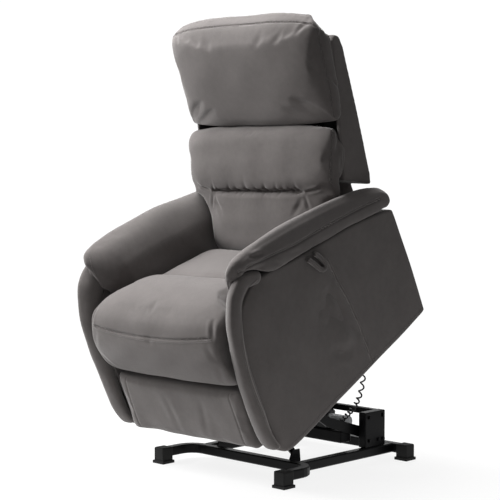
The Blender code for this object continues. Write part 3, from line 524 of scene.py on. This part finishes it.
# ---------------------------------------------------------------- finishing a piece
def add_piece(name, data):
    piece = bpy.data.objects.new(name, data)
    bpy.context.scene.collection.objects.link(piece)
    return piece


def finish_piece(piece, look, body, nodes=()):
    """Tips a piece with the chair, dresses it and hangs it on its body."""
    piece.data.transform(STANDING)
    piece.data.materials.clear()
    piece.data.materials.append(look)
    piece.data.shade_smooth()
    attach(piece, body)
    if nodes:
        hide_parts(*nodes)


def round_curve(name, paths, radius, resolution):
    """Round wire or thread along each path."""
    curve = bpy.data.curves.new(name, "CURVE")
    curve.dimensions = "3D"
    curve.bevel_depth = radius
    curve.bevel_resolution = resolution
    curve.use_fill_caps = True
    for path in paths:
        line = curve.splines.new("POLY")
        line.points.add(len(path) - 1)
        for knot, place in zip(line.points, path):
            knot.co = (*place, 1)
    return add_piece(name, curve)


def strand(name, paths, radius, look, body, resolution):
    """Thin round strands, such as piping or stitches, as one mesh piece."""
    made = round_curve(name, paths, radius, resolution)
    graph = bpy.context.evaluated_depsgraph_get()
    data = bpy.data.meshes.new_from_object(made.evaluated_get(graph))
    bpy.data.objects.remove(made)
    finish_piece(add_piece(name, data), look, body)


def on_surface(piece, path, raise_by, count):
    """A smooth line of count points along the path, laid on the piece and raised a little."""
    on, out = snap(piece, spline(path, count))
    return on + out * raise_by


def stitch_paths(line, stitch=0.0042, gap=0.0016):
    """Short stitches along a line: each a little run of thread."""
    length = np.concatenate([[0], np.cumsum(np.linalg.norm(np.diff(line, axis=0), axis=1))])
    starts = np.arange(0, length[-1] - stitch, stitch + gap)
    paths = []
    for start in starts:
        where = start + stitch * np.array([0, 0.5, 1])
        paths.append(np.stack([np.interp(where, length, line[:, k]) for k in range(3)], 1))
    return paths


def piping(name, line, body, radius=PIPING_R):
    # real piping cord, dressed in the lighter fabric that paints the seam edge's highlight
    strand(name, [line], radius, piping_highlight_fabric, body, 2)


def stitching(name, lines, body):
    strand(name, [path for line in lines for path in stitch_paths(line)], STITCH_R, thread, body, 1)


def mirrored(points, sign):
    return [(sign * x, y, z) for x, y, z in points]


# ---------------------------------------------------------------- backrest
# (z, y) of the board behind the cushions
BACK_BOARD = [(0.30, -0.190), (0.335, -0.186), (0.47, -0.155), (0.548, -0.110), (0.584, -0.080),
              (0.639, -0.045), (0.711, -0.024), (0.749, 0.004), (0.852, 0.027), (0.954, 0.050),
              (1.07, 0.058)]
HEADREST_HALF = 0.318
LUMBAR_HALF = 0.314
LUMBAR_SEAM_Z = 0.5425
SHELL_HALF = 0.309


def near_board(distance):
    """Which points of a cushion lie at the board, and so stay when it is stuffed."""
    return lambda points: points[:, 1] > ease(points[:, 2], BACK_BOARD) - distance


def build_headrest():
    face = [(0.050, 1.060), (0.016, 1.055), (-0.018, 1.032), (-0.042, 0.990), (-0.062, 0.897),
            (-0.072, 0.818), (-0.077, 0.764), (-0.073, 0.712)]
    half = [(0, 0.280), (0.06, 0.298), (0.13, 0.311), (0.24, HEADREST_HALF), (1, HEADREST_HALF)]
    thick = [(0, 0.040), (0.12, 0.085), (0.3, 0.120), (0.5, 0.120), (0.75, 0.106), (0.9, 0.092), (1, 0.070)]
    piece = slab("headrest", face, half, thick, crown=0.022, power=6.5, ends=(0.034, 0.014), stations=60,
                 around=96)
    puff(piece, pressure=5, cap=0.005, held=near_board(0.022))
    subdivide(piece)
    ripple(piece, 3, 0.16, 0.0012)
    front = [(-0.052, 0.735), (-0.026, 0.811), (-0.006, 0.904), (0.009, 0.985), (0.012, 1.022)]
    rear = [(-0.010, 0.735), (0.012, 0.790), (0.030, 0.852), (0.052, 0.954), (0.052, 1.022)]
    seams = []
    for line, top in ((front, (-0.006, 1.050)), (rear, (0.046, 1.060))):
        over = [(x, *top) for x in np.linspace(0.28, -0.28, 9)]
        up = [(HEADREST_HALF, y, z) for y, z in line]
        seams.append(up + over + mirrored(up[::-1], -1))
    groove(piece, spline(seams[0], 160), 0.0030, 0.0030)
    groove(piece, spline(seams[1], 160), 0.0022, 0.0030)
    for sign in (1, -1):
        x = sign * HEADREST_HALF
        crease(piece, (x, 0.016, 0.975), (x, 0.042, 1.005), 0.004, 0.005)
        crease(piece, (x, -0.006, 0.850), (x, 0.014, 0.800), 0.003, 0.005)
        crease(piece, (sign * 0.250, -0.020, 1.000), (sign * 0.292, 0.006, 1.036), 0.0024, 0.007)
    seams = [on_surface(piece, spline(line, 60), 0.0004, 240) for line in seams]
    finish_piece(piece, fabric, "backrest", ["headrest_cushion"])
    stitching("headrest_stitching", seams, "backrest")


def build_lumbar():
    face = [(-0.045, 0.725), (-0.080, 0.722), (-0.114, 0.698), (-0.142, 0.650), (-0.162, 0.608),
            (-0.174, 0.572), (-0.175, 0.545), (-0.187, 0.522), (-0.206, 0.485), (-0.230, 0.435),
            (-0.248, 0.390), (-0.250, 0.345)]
    half = [(0, 0.304), (0.1, 0.316), (0.53, 0.315), (0.56, 0.300), (0.60, 0.274), (0.70, 0.246),
            (0.85, 0.230), (1, 0.220)]
    thick = [(0, 0.06), (0.12, 0.096), (0.3, 0.106), (0.45, 0.084), (0.52, 0.060), (0.62, 0.057),
             (0.85, 0.062), (1, 0.04)]
    piece = slab("lumbar_pad", face, half, thick, crown=0.016, power=7.0, ends=(0.012, 0.022),
                 stations=100, around=96)
    puff(piece, pressure=5, cap=0.005, held=near_board(0.012))
    subdivide(piece)
    ripple(piece, 5, 0.14, 0.0012)
    seam = [(x, -0.173, LUMBAR_SEAM_Z + 0.002 * math.sin(9 * x)) for x in np.linspace(-0.205, 0.205, 24)]
    groove(piece, seam, 0.012, 0.0085, 0.03)
    groove(piece, seam, 0.007, 0.0026, 0.02)
    gathers(piece, seam, 11, 0.036, 0.0070, 0.034, 0.0050, side=lambda p: p[:, 2] > LUMBAR_SEAM_Z)
    gathers(piece, seam, 12, 0.045, 0.0026, 0.018, 0.0050, side=lambda p: p[:, 2] < LUMBAR_SEAM_Z)
    for sign in (1, -1):
        crease(piece, (sign * 0.205, -0.173, 0.542), (sign * 0.270, -0.150, 0.556), 0.004, 0.005)
        crease(piece, (sign * 0.200, -0.178, 0.535), (sign * 0.216, -0.196, 0.490), 0.003, 0.006)
        crease(piece, (sign * 0.196, -0.175, 0.530), (sign * 0.150, -0.205, 0.470), 0.002, 0.008)
        crease(piece, (sign * LUMBAR_HALF, -0.050, 0.690), (sign * LUMBAR_HALF, -0.085, 0.640), 0.003, 0.006)
        crease(piece, (sign * LUMBAR_HALF, -0.080, 0.620), (sign * LUMBAR_HALF, -0.105, 0.575), 0.002, 0.006)
    lines = []
    for edge in (((-0.064, 0.712), (-0.110, 0.647), (-0.147, 0.587), (-0.160, 0.560)),
                 ((-0.028, 0.700), (-0.050, 0.645), (-0.085, 0.590), (-0.104, 0.562))):
        for sign in (1, -1):
            path = [(sign * LUMBAR_HALF, y, z) for y, z in edge]
            groove(piece, spline(path, 30), 0.0024, 0.0028)
            lines.append(on_surface(piece, path, 0.0004, 60))
    finish_piece(piece, fabric, "backrest", ["lumbar_upper_cushion", "lumbar_lower_cushion"])
    stitching("lumbar_stitching", lines, "backrest")


def copy_of_node(node, name):
    """A new piece with the CAD node's mesh, brought into the chair's level frame."""
    piece = add_piece(name, frame["nodes"][node].data.copy())
    piece.data.transform(STANDING.inverted())
    return piece


def build_back_shell():
    piece = copy_of_node("back_shell", "back_outer_shell")
    remesh(piece, VOXEL_FINE)
    relax(piece, 14)
    ripple(piece, 8, 0.2, 0.001)
    rim = [(-0.094, 0.560), (-0.060, 0.640), (-0.010, 0.765), (0.040, 0.890), (0.058, 0.930)]
    rear = [(0.014, 0.480), (0.040, 0.600), (0.078, 0.790), (0.097, 0.890), (0.092, 0.936)]
    lines = []
    for sign in (1, -1):
        for edge in (rim, rear):
            path = [(sign * SHELL_HALF, y, z) for y, z in edge]
            groove(piece, spline(path, 40), 0.0014, 0.003)
            lines.append(on_surface(piece, path, 0.0003, 60))
    finish_piece(piece, fabric, "backrest", ["back_shell"])
    stitching("back_shell_stitching", lines, "backrest")


# ---------------------------------------------------------------- seat and footrest
def build_seat():
    face = [(-0.252, 0.378), (-0.290, 0.390), (-0.400, 0.418), (-0.500, 0.441), (-0.560, 0.464),
            (-0.630, 0.480), (-0.700, 0.478), (-0.756, 0.462), (-0.788, 0.428), (-0.806, 0.370),
            (-0.803, 0.320), (-0.786, 0.266), (-0.756, 0.228)]
    half = [(0, 0.224), (0.42, 0.227), (0.50, 0.232), (0.56, 0.262), (0.62, 0.281), (0.9, 0.284), (1, 0.280)]
    thick = [(0, 0.09), (0.4, 0.13), (0.62, 0.13), (0.8, 0.10), (1, 0.06)]
    piece = slab("seat_pad", face, half, thick, crown=0.006, power=7.0, ends=(0.018, 0.012), stations=84,
                 around=96)
    puff(piece, pressure=5, cap=0.006, held=lambda p: p[:, 2] < 0.250)
    subdivide(piece)
    ripple(piece, 21, 0.17, 0.0016)
    fold = [(x, -0.505 - 0.012 * (1 - (x / 0.2) ** 2), 0.452) for x in np.linspace(-0.215, 0.215, 20)]
    groove(piece, fold, 0.007, 0.018, 0.05)
    groove(piece, fold, 0.004, 0.004, 0.05)
    sag = [(x, -0.788, 0.430 - 0.022 * (1 - (x / 0.27) ** 2)) for x in np.linspace(-0.272, 0.272, 30)]
    below = [(x, y - 0.003, z - 0.010) for x, y, z in sag]
    groove(piece, sag, 0.0040, 0.0034, 0.02)
    lines = [on_surface(piece, sag, 0.0004, 150), on_surface(piece, below, 0.0004, 150)]
    for sign in (1, -1):
        crease(piece, (sign * 0.252, -0.730, 0.455), (sign * 0.266, -0.770, 0.410), 0.004, 0.007)
        crease(piece, (sign * 0.240, -0.790, 0.410), (sign * 0.268, -0.800, 0.350), 0.0016, 0.010)
        crease(piece, (sign * 0.266, -0.784, 0.330), (sign * 0.230, -0.776, 0.262), 0.002, 0.010)
    finish_piece(piece, fabric, "chair", ["seat_cushion"])
    stitching("seat_stitching", lines, "chair")


def build_footrest():
    outline = [(-0.7290, 0.032), (-0.7290, 0.214), (-0.740, 0.225), (-0.754, 0.228), (-0.768, 0.216),
               (-0.776, 0.180), (-0.784, 0.110), (-0.790, 0.055), (-0.784, 0.026), (-0.766, 0.019),
               (-0.745, 0.021)]
    piece = panel("footrest_pad", outline, -0.272, 0.272, rim=0.012)
    puff(piece, pressure=4, cap=0.004, held=lambda p: p[:, 1] > -0.733)
    subdivide(piece)
    ripple(piece, 31, 0.15, 0.0012)
    side = [(0.230, -0.768, 0.212), (0.231, -0.780, 0.120), (0.231, -0.783, 0.040)]
    lines = []
    for sign in (1, -1):
        path = mirrored(side, sign)
        groove(piece, spline(path, 30), 0.002, 0.003)
        lines.append(on_surface(piece, path, 0.0004, 60))
    for i, x in enumerate((-0.06, 0.10)):
        crease(piece, (x, -0.778, 0.19), (x + 0.02 * (1 - 2 * i), -0.782, 0.05), 0.0012, 0.012)
    finish_piece(piece, fabric, "footrest_panel", ["footrest_cushion"])
    stitching("footrest_stitching", lines, "footrest_panel")


# ---------------------------------------------------------------- arms and sides
# (y, z) of the arm's top and of its outer flap's edge, then (y, x) of its inner and outer faces
ARM_CROWN = [(0.030, 0.430), (0.010, 0.457), (-0.058, 0.492), (-0.150, 0.523), (-0.261, 0.553),
             (-0.400, 0.582), (-0.527, 0.601), (-0.590, 0.606), (-0.630, 0.604), (-0.652, 0.598),
             (-0.668, 0.585), (-0.676, 0.568)]
ARM_FLAP = [(0.032, 0.392), (0.000, 0.386), (-0.108, 0.414), (-0.180, 0.434), (-0.281, 0.450),
            (-0.348, 0.465), (-0.417, 0.479), (-0.486, 0.491), (-0.529, 0.500), (-0.560, 0.513),
            (-0.590, 0.542), (-0.630, 0.553), (-0.680, 0.548)]
ARM_INNER = [(0.034, 0.240), (0.0, 0.236), (-0.54, 0.235), (-0.590, 0.238), (-0.620, 0.245),
             (-0.645, 0.257), (-0.660, 0.270), (-0.674, 0.292)]
ARM_OUTER = [(0.034, 0.344), (0.0, 0.349), (-0.55, 0.351), (-0.610, 0.349), (-0.645, 0.343),
             (-0.660, 0.333), (-0.674, 0.314)]
ARM_INNER_BOTTOM = 0.300
ARM_TONGUE = 0.462
ARM_NOSE_Y = -0.648


def arm_ring(y, top, flap, bottom, inner, outer):
    """The arm's cross-section: up the inner side, over the crown, down to the flap's edge, back in."""
    tall, wide = top - flap, outer - inner
    deep = min(bottom, flap - 0.004)
    middle = min(max(inner + 0.050, 0.284), outer - 0.012)
    reach = min(0.105, (top - deep) * 0.9)
    corners = [
        (inner + 0.010, deep), (inner, (deep + top - reach) / 2), (inner + 0.002, top - reach),
        (inner + 0.13 * wide, top - 0.64 * reach), (inner + 0.36 * wide, top - 0.29 * reach),
        (inner + 0.64 * wide, top - 0.06 * reach), (outer - 0.16 * wide, top),
        (outer - 0.03 * wide, top - 0.24 * tall), (outer, flap + 0.34 * tall), (outer - 0.002, flap + 0.006),
        (outer - 0.010, flap - 0.001), (middle + 0.010, flap + 0.002), (middle + 0.001, flap - 0.004),
        (middle - 0.001, deep + (flap - deep) * 0.3), (middle - 0.010, deep - 0.001),
    ]
    ring = spline(corners, 72, closed=True)
    return np.column_stack([ring[:, 0], np.full(len(ring), y), ring[:, 1]])


def build_arm(sign, side):
    curves = [spline(knots, 300) for knots in (ARM_CROWN, ARM_FLAP, ARM_INNER, ARM_OUTER)]
    rings = []
    for y in np.concatenate([np.linspace(0.0305, 0.0, 6), np.linspace(-0.02, -0.60, 36),
                             np.linspace(-0.612, -0.673, 14)]):
        top, low, inner, outer = (np.interp(-y, -curve[:, 0], curve[:, 1]) for curve in curves)
        if y > -0.010:
            bottom = low - 0.004
        elif y > ARM_NOSE_Y:
            bottom = ARM_INNER_BOTTOM
        else:
            bottom = ARM_TONGUE + (ARM_NOSE_Y - y) * 0.8
        rings.append(arm_ring(y, top, low, bottom, inner, outer) * np.array([sign, 1, 1]))
    piece = mesh_from_rings(f"arm_cushion_{side}", rings)
    puff(piece, pressure=4, cap=0.003, held=lambda p: (p[:, 2] < 0.33) | (np.abs(p[:, 0]) > 0.346))
    subdivide(piece)
    ripple(piece, 41 + sign, 0.16, 0.0014)
    seam = mirrored([
        (0.349, -0.020, 0.430), (0.350, -0.1415, 0.462), (0.350, -0.339, 0.503), (0.350, -0.429, 0.520),
        (0.350, -0.515, 0.543), (0.349, -0.563, 0.555), (0.343, -0.602, 0.566), (0.330, -0.632, 0.570),
        (0.318, -0.646, 0.563), (0.306, -0.658, 0.548), (0.296, -0.664, 0.522), (0.290, -0.664, 0.495),
        (0.286, -0.660, 0.470),
    ], sign)
    groove(piece, spline(seam, 120), 0.0044, 0.0040)
    line = on_surface(piece, seam, 0.0006, 200)
    beside = on_surface(piece, [(x - sign * 0.004, y + 0.002, z + 0.007) for x, y, z in seam], 0.0004, 200)
    crease(piece, (sign * 0.338, -0.600, 0.585), (sign * 0.348, -0.545, 0.566), 0.004, 0.006)
    crease(piece, (sign * 0.349, -0.555, 0.530), (sign * 0.349, -0.600, 0.552), 0.003, 0.007)
    crease(piece, (sign * 0.349, -0.450, 0.505), (sign * 0.349, -0.400, 0.485), 0.0020, 0.008)
    crease(piece, (sign * 0.349, -0.520, 0.525), (sign * 0.349, -0.500, 0.497), 0.0020, 0.007)
    dimple(piece, (sign * 0.352, -0.500, 0.512), 0.022, -0.002)
    dimple(piece, (sign * 0.352, -0.380, 0.488), 0.024, -0.002)
    finish_piece(piece, fabric, "chair", [f"arm_pad_{side}", f"inner_arm_pad_{side}"])
    piping(f"arm_piping_{side}", line, "chair")
    stitching(f"arm_stitching_{side}", [beside], "chair")


ROLL_LINE = [(-0.562, 0.522), (-0.598, 0.545), (-0.636, 0.560), (-0.668, 0.555), (-0.708, 0.530),
             (-0.735, 0.494), (-0.759, 0.443), (-0.773, 0.385), (-0.784, 0.308), (-0.789, 0.235),
             (-0.792, 0.158),
             (-0.793, 0.099), (-0.787, 0.055), (-0.774, 0.022)]
ROLL_SEAM = [(-0.600, 0.513), (-0.637, 0.505), (-0.674, 0.483), (-0.698, 0.458), (-0.721, 0.420),
             (-0.739, 0.378), (-0.753, 0.317), (-0.761, 0.260), (-0.765, 0.190), (-0.767, 0.122),
             (-0.765, 0.068), (-0.757, 0.022)]
ROLL_SIDE = 0.3465


def build_roll(sign, side):
    half = [(0, 0.026), (0.15, 0.0285), (1, 0.0285)]
    thick = [(0, 0.040), (0.15, 0.054), (0.35, 0.050), (0.5, 0.040), (0.75, 0.034), (1, 0.026)]
    lean = [(0, 0.018), (0.2, 0.032), (0.38, 0.030), (0.6, 0.014), (0.8, 0.003), (1, 0.0)]
    piece = slab(f"side_roll_{side}", ROLL_LINE, half, thick, crown=0.003, power=3.6, ends=(0.02, 0.016),
                 stations=80, around=48, centre=sign * 0.3175, lean=lean, outer=sign)
    puff(piece, pressure=4, cap=0.003, voxel=VOXEL_ROLL, held=lambda p: p[:, 1] > -0.64)
    subdivide(piece)
    ripple(piece, 51 + sign, 0.12, 0.0010)
    seam = [(sign * ROLL_SIDE, y - 0.001, z) for y, z in ROLL_SEAM]
    beside = [(sign * ROLL_SIDE, y - 0.007, z) for y, z in ROLL_SEAM[2:]]
    line = on_surface(piece, seam, 0.0004, 200)
    beside = on_surface(piece, beside, 0.0004, 200)
    finish_piece(piece, fabric, "chair", [f"front_roll_{side}"])
    piping(f"roll_piping_{side}", line, "chair")
    stitching(f"roll_stitching_{side}", [beside], "chair")


SIDE_OUTLINE = [(-0.750, 0.008), (-0.761, 0.030), (-0.763, 0.068), (-0.765, 0.122), (-0.763, 0.190),
                (-0.759, 0.260), (-0.751, 0.317), (-0.737, 0.378), (-0.697, 0.452), (-0.674, 0.478),
                (-0.634, 0.500), (-0.598, 0.509), (-0.540, 0.504), (-0.460, 0.484), (-0.335, 0.459),
                (-0.180, 0.430), (-0.060, 0.398), (0.016, 0.372), (0.026, 0.350), (0.024, 0.260),
                (0.020, 0.150), (0.010, 0.014), (0.002, -0.006), (-0.060, -0.008), (-0.300, -0.009),
                (-0.500, -0.009), (-0.640, -0.008), (-0.725, -0.004)]
COVER_FACE = 0.345
COVER_BACK = 0.3030
COVER_SKIN = 0.007
COVER_RIM = 0.008


def build_side_cover(sign, side):
    """The side's fabric cover: a shallow tray with rounded rims, open towards the board."""
    edge = spline(SIDE_OUTLINE, 260, closed=True)
    hollow = COVER_FACE - COVER_SKIN
    layers = [(hollow, COVER_RIM + 0.004), (hollow - 0.004, COVER_SKIN + 0.002), (COVER_BACK, COVER_SKIN),
              (COVER_BACK, 0.0)]
    for i in range(1, 7):
        turn = math.pi / 2 * i / 6
        layers.append((COVER_FACE - COVER_RIM * (1 - math.sin(turn)), COVER_RIM * (1 - math.cos(turn))))
    rings = [np.column_stack([np.full(len(edge), sign * x), inward(edge, inset)]) for x, inset in layers]
    piece = mesh_from_rings(f"side_panel_{side}", rings)
    remesh(piece, VOXEL_FINE)
    relax(piece, 3)
    points = coords(piece)
    # the face dips towards the seam that it shares with the roll
    front = spline([(0, y, z) for y, z in ROLL_SEAM], 80)
    _, away, _ = place_on_path(points * np.array([0, 1, 1]), front)
    sunk = 0.0085 * np.exp(-((away / 0.030) ** 2)) + 0.0020 * np.exp(-((away / 0.09) ** 2))
    points[:, 0] -= sign * sunk * (np.abs(points[:, 0]) > COVER_FACE - 0.012)
    set_coords(piece, points)
    ripple(piece, 61 + sign, 0.24, 0.0014)
    face = sign * COVER_FACE
    seam = [(face, -0.319, 0.400), (face, -0.308, 0.299), (face, -0.298, 0.228), (face, -0.293, 0.146),
            (face, -0.292, 0.084), (face, -0.296, 0.004)]
    groove(piece, spline(seam, 60), 0.0036, 0.0035)
    dimple(piece, (face, -0.400, 0.260), 0.055, 0.006)
    dimple(piece, (face, -0.350, 0.150), 0.036, -0.0035)
    crease(piece, (face, -0.365, 0.330), (face, -0.345, 0.190), 0.004, 0.020)
    crease(piece, (face, -0.352, 0.215), (face, -0.305, 0.110), 0.0035, 0.014)
    crease(piece, (face, -0.440, 0.150), (face, -0.355, 0.085), 0.003, 0.018)
    crease(piece, (face, -0.325, 0.380), (face, -0.290, 0.260), 0.0025, 0.012)
    line = on_surface(piece, seam, 0.0003, 120)
    beside = on_surface(piece, [(x, y + 0.007, z) for x, y, z in seam], 0.0003, 120)
    hem = on_surface(piece, [(face, y, 0.008) for y in np.linspace(-0.735, -0.012, 30)], 0.0003, 300)
    finish_piece(piece, fabric, "chair", [f"side_cover_{side}"])
    piping(f"side_piping_{side}", line, "chair", radius=0.0013)
    stitching(f"side_stitching_{side}", [beside, hem], "chair")


STRAP_X = 0.3530
STRAP_HINGE = (-0.352, 0.448)
STRAP_HALF_WIDE = 0.0070
STRAP_HALF_DEEP = 0.0078


def bent(wave, power):
    """A sine or cosine, its curve made squarer."""
    return math.copysign(abs(wave) ** power, wave)


def build_pull_loop():
    """The pull strap: a stuffed loop with two rows of stitches, hanging below its hinge line."""
    path = [(-0.046, 0.004), (-0.030, -0.020), (-0.017, -0.044), (-0.006, -0.058), (0.008, -0.058),
            (0.012, -0.044), (0.003, -0.020), (-0.012, 0.004)]
    line = spline([(STRAP_HINGE[0] + y, STRAP_HINGE[1] + z) for y, z in path], 60)
    rings = []
    for i, place in enumerate(line):
        ahead = line[min(i + 1, len(line) - 1)] - line[max(i - 1, 0)]
        ahead /= np.linalg.norm(ahead)
        out = np.array([-ahead[1], ahead[0]])
        ring = []
        for turn in np.linspace(0, 2 * np.pi, 28, endpoint=False):
            across = bent(math.cos(turn), 0.6) * STRAP_HALF_WIDE
            through = bent(math.sin(turn), 0.8) * STRAP_HALF_DEEP
            ring.append((STRAP_X + across, *(place + out * through)))
        rings.append(np.array(ring))
    piece = mesh_from_rings("pull_strap", rings)
    subdivide(piece)
    paths = []
    for offset in (-0.0034, 0.0034):
        row = [(STRAP_X + STRAP_HALF_WIDE, y + offset * 0.6, z + offset * 0.4) for y, z in line]
        paths += stitch_paths(np.array(row), 0.003, 0.001)
    finish_piece(piece, fabric, "pull_loop", ["pull_loop"])
    strand("strap_stitching", paths, 0.0005, thread, "pull_loop", 1)


def build_rear_panel():
    piece = copy_of_node("rear_panel", "rear_cover")
    remesh(piece, VOXEL_FINE)
    relax(piece, 6)
    ripple(piece, 71, 0.2, 0.001)
    finish_piece(piece, fabric, "chair", ["rear_panel"])


# ---------------------------------------------------------------- curly lead
LEAD_R = 0.0027
COIL_R = 0.0095
PITCH = (0.030, 0.0135)  # per turn where the coil is stretched, and where it is slack
STRAIGHT_END = 0.022


def lead_route():
    """The middle of the curly lead, as the CAD tube follows it, in the row frame."""
    grommet = STANDING @ Vector((0, -0.222, 0.034))
    y, z = grommet.y + MIDDLE[1], grommet.z
    plug = (0.125, 0.395, 0.1223)
    start = (0.2794, y, z)
    end = (plug[0] + 2 * GAP, plug[1], plug[2])
    route = [
        (0.273, y, z), (0.263, y + 0.003, z - 0.006), (0.254, 0.388, 0.372), (0.246, 0.398, 0.320),
        (0.236, 0.404, 0.270), (0.222, 0.405, 0.225), (0.203, 0.403, 0.190), (0.179, 0.400, 0.163),
        (0.153, plug[1] + 0.002, plug[2] + 0.016), (0.133, *plug[1:]),
    ]
    line = np.vstack([start, spline(route, 200), end])
    return spline(line - np.array([MIDDLE[0], MIDDLE[1], 0]), 600)


def build_lead():
    """The lead's wire, wound round its route except at the two ends."""
    line = lead_route()
    step = np.linalg.norm(np.diff(line, axis=0), axis=1)
    along = np.concatenate([[0], np.cumsum(step)])
    run = along[-1]
    count = 420
    where = np.linspace(0, run, count)
    pitch = np.interp(where / run, [0.0, 0.55, 0.70, 1.0], [PITCH[0], PITCH[0], PITCH[1], PITCH[1]])
    turned = np.concatenate([[0], np.cumsum(np.diff(where) / pitch[1:])]) * 2 * math.pi
    middle = np.stack([np.interp(where, along, line[:, k]) for k in range(3)], 1)
    ahead = np.gradient(middle, axis=0)
    ahead /= np.linalg.norm(ahead, axis=1)[:, None]
    side = np.array([0.0, 1.0, 0.0])
    points = []
    for i in range(count):
        side = side - ahead[i] * (side @ ahead[i])
        side /= np.linalg.norm(side)
        up = np.cross(ahead[i], side)
        wound = np.clip(min(where[i], run - where[i]) / STRAIGHT_END, 0, 1)
        radius = (COIL_R - LEAD_R - 0.0002) * wound**2 * (3 - 2 * wound)
        points.append(middle[i] + radius * (side * math.cos(turned[i]) + up * math.sin(turned[i])))
    piece = round_curve("curly_lead", [points], LEAD_R, 2)
    piece.data.materials.append(lead_rubber)
    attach(piece, "chair")
    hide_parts("curly_cord")


# ---------------------------------------------------------------- light, floor and camera
BACKDROP = (-0.695, 0.716, -0.06)  # where the camera looks: the room is white there
BACKDROP_LIGHT = 1.05
ROOM_LIGHT = 0.22


def build_floor():
    bpy.ops.mesh.primitive_plane_add(size=2.4, location=(0, 0, -0.0005))
    floor = bpy.context.object
    floor.name = "floor"
    look = new_material("studio_floor")
    inputs = shader_of(look).inputs
    inputs["Base Color"].default_value = (0.14, 0.14, 0.14, 1)
    inputs["Emission Color"].default_value = (1, 1, 1, 1)
    inputs["Emission Strength"].default_value = 0.86
    inputs["Roughness"].default_value = 0.9
    inputs["Specular IOR Level"].default_value = 0.1
    floor.data.materials.append(look)


def build_room():
    """A dim room with a white backdrop in the direction that the camera looks."""
    world = bpy.data.worlds.new("studio")
    bpy.context.scene.world = world
    world.use_nodes = True
    nodes, links = world.node_tree.nodes, world.node_tree.links
    place = nodes.new("ShaderNodeTexCoord")
    facing = nodes.new("ShaderNodeVectorMath")
    facing.operation = "DOT_PRODUCT"
    facing.inputs[1].default_value = BACKDROP
    edge = nodes.new("ShaderNodeMapRange")
    edge.interpolation_type = "SMOOTHSTEP"
    edge.inputs["From Min"].default_value = math.cos(math.radians(62))
    edge.inputs["From Max"].default_value = math.cos(math.radians(26))
    edge.inputs["To Min"].default_value = ROOM_LIGHT
    edge.inputs["To Max"].default_value = BACKDROP_LIGHT
    links.new(place.outputs["Generated"], facing.inputs[0])
    links.new(facing.outputs["Value"], edge.inputs["Value"])
    links.new(edge.outputs["Result"], nodes["Background"].inputs["Strength"])
    nodes["Background"].inputs["Color"].default_value = (1, 1, 1, 1)
    bpy.context.scene.view_settings.view_transform = "Standard"


def build_lamp(name, place, target, size, power):
    data = bpy.data.lights.new(name, "AREA")
    data.shape = "RECTANGLE"
    data.size, data.size_y = size
    data.energy = power
    lamp = bpy.data.objects.new(name, data)
    lamp.location = place
    heading = Vector(target) - Vector(place)
    lamp.rotation_euler = heading.to_track_quat("-Z", "Y").to_euler()
    bpy.context.scene.collection.objects.link(lamp)


CAMERA_PLACE = (3.296 - MIDDLE[0], -3.268 - MIDDLE[1], 1.0)
CAMERA_AZIMUTH = 44.1334  # degrees
CAMERA_DIP = 3.63424  # degrees below level
CAMERA_LENS = 107.87  # mm


def build_camera():
    data = bpy.data.cameras.new("camera")
    data.lens = CAMERA_LENS
    data.sensor_width = 36
    data.clip_end = 100
    camera = bpy.data.objects.new("camera", data)
    camera.location = CAMERA_PLACE
    camera.rotation_euler = (math.radians(90 - CAMERA_DIP), 0, math.radians(CAMERA_AZIMUTH))
    bpy.context.scene.collection.objects.link(camera)
    bpy.context.scene.camera = camera


build_camera()
build_floor()
build_room()
build_lamp("key_light", (-2.5, -2.4, 2.9), (0, 0, 0.8), (1.4, 1.8), 260)
build_lamp("top_light", (-0.7, -0.3, 3.4), (0, 0, 0.5), (1.8, 1.8), 150)
dress_cad_nodes()
build_lead()
build_headrest()
build_lumbar()
build_back_shell()
build_seat()
build_footrest()
for mark, word in ((1, "left"), (-1, "right")):
    build_arm(mark, word)
    build_roll(mark, word)
    build_side_cover(mark, word)
build_pull_loop()
build_rear_panel()
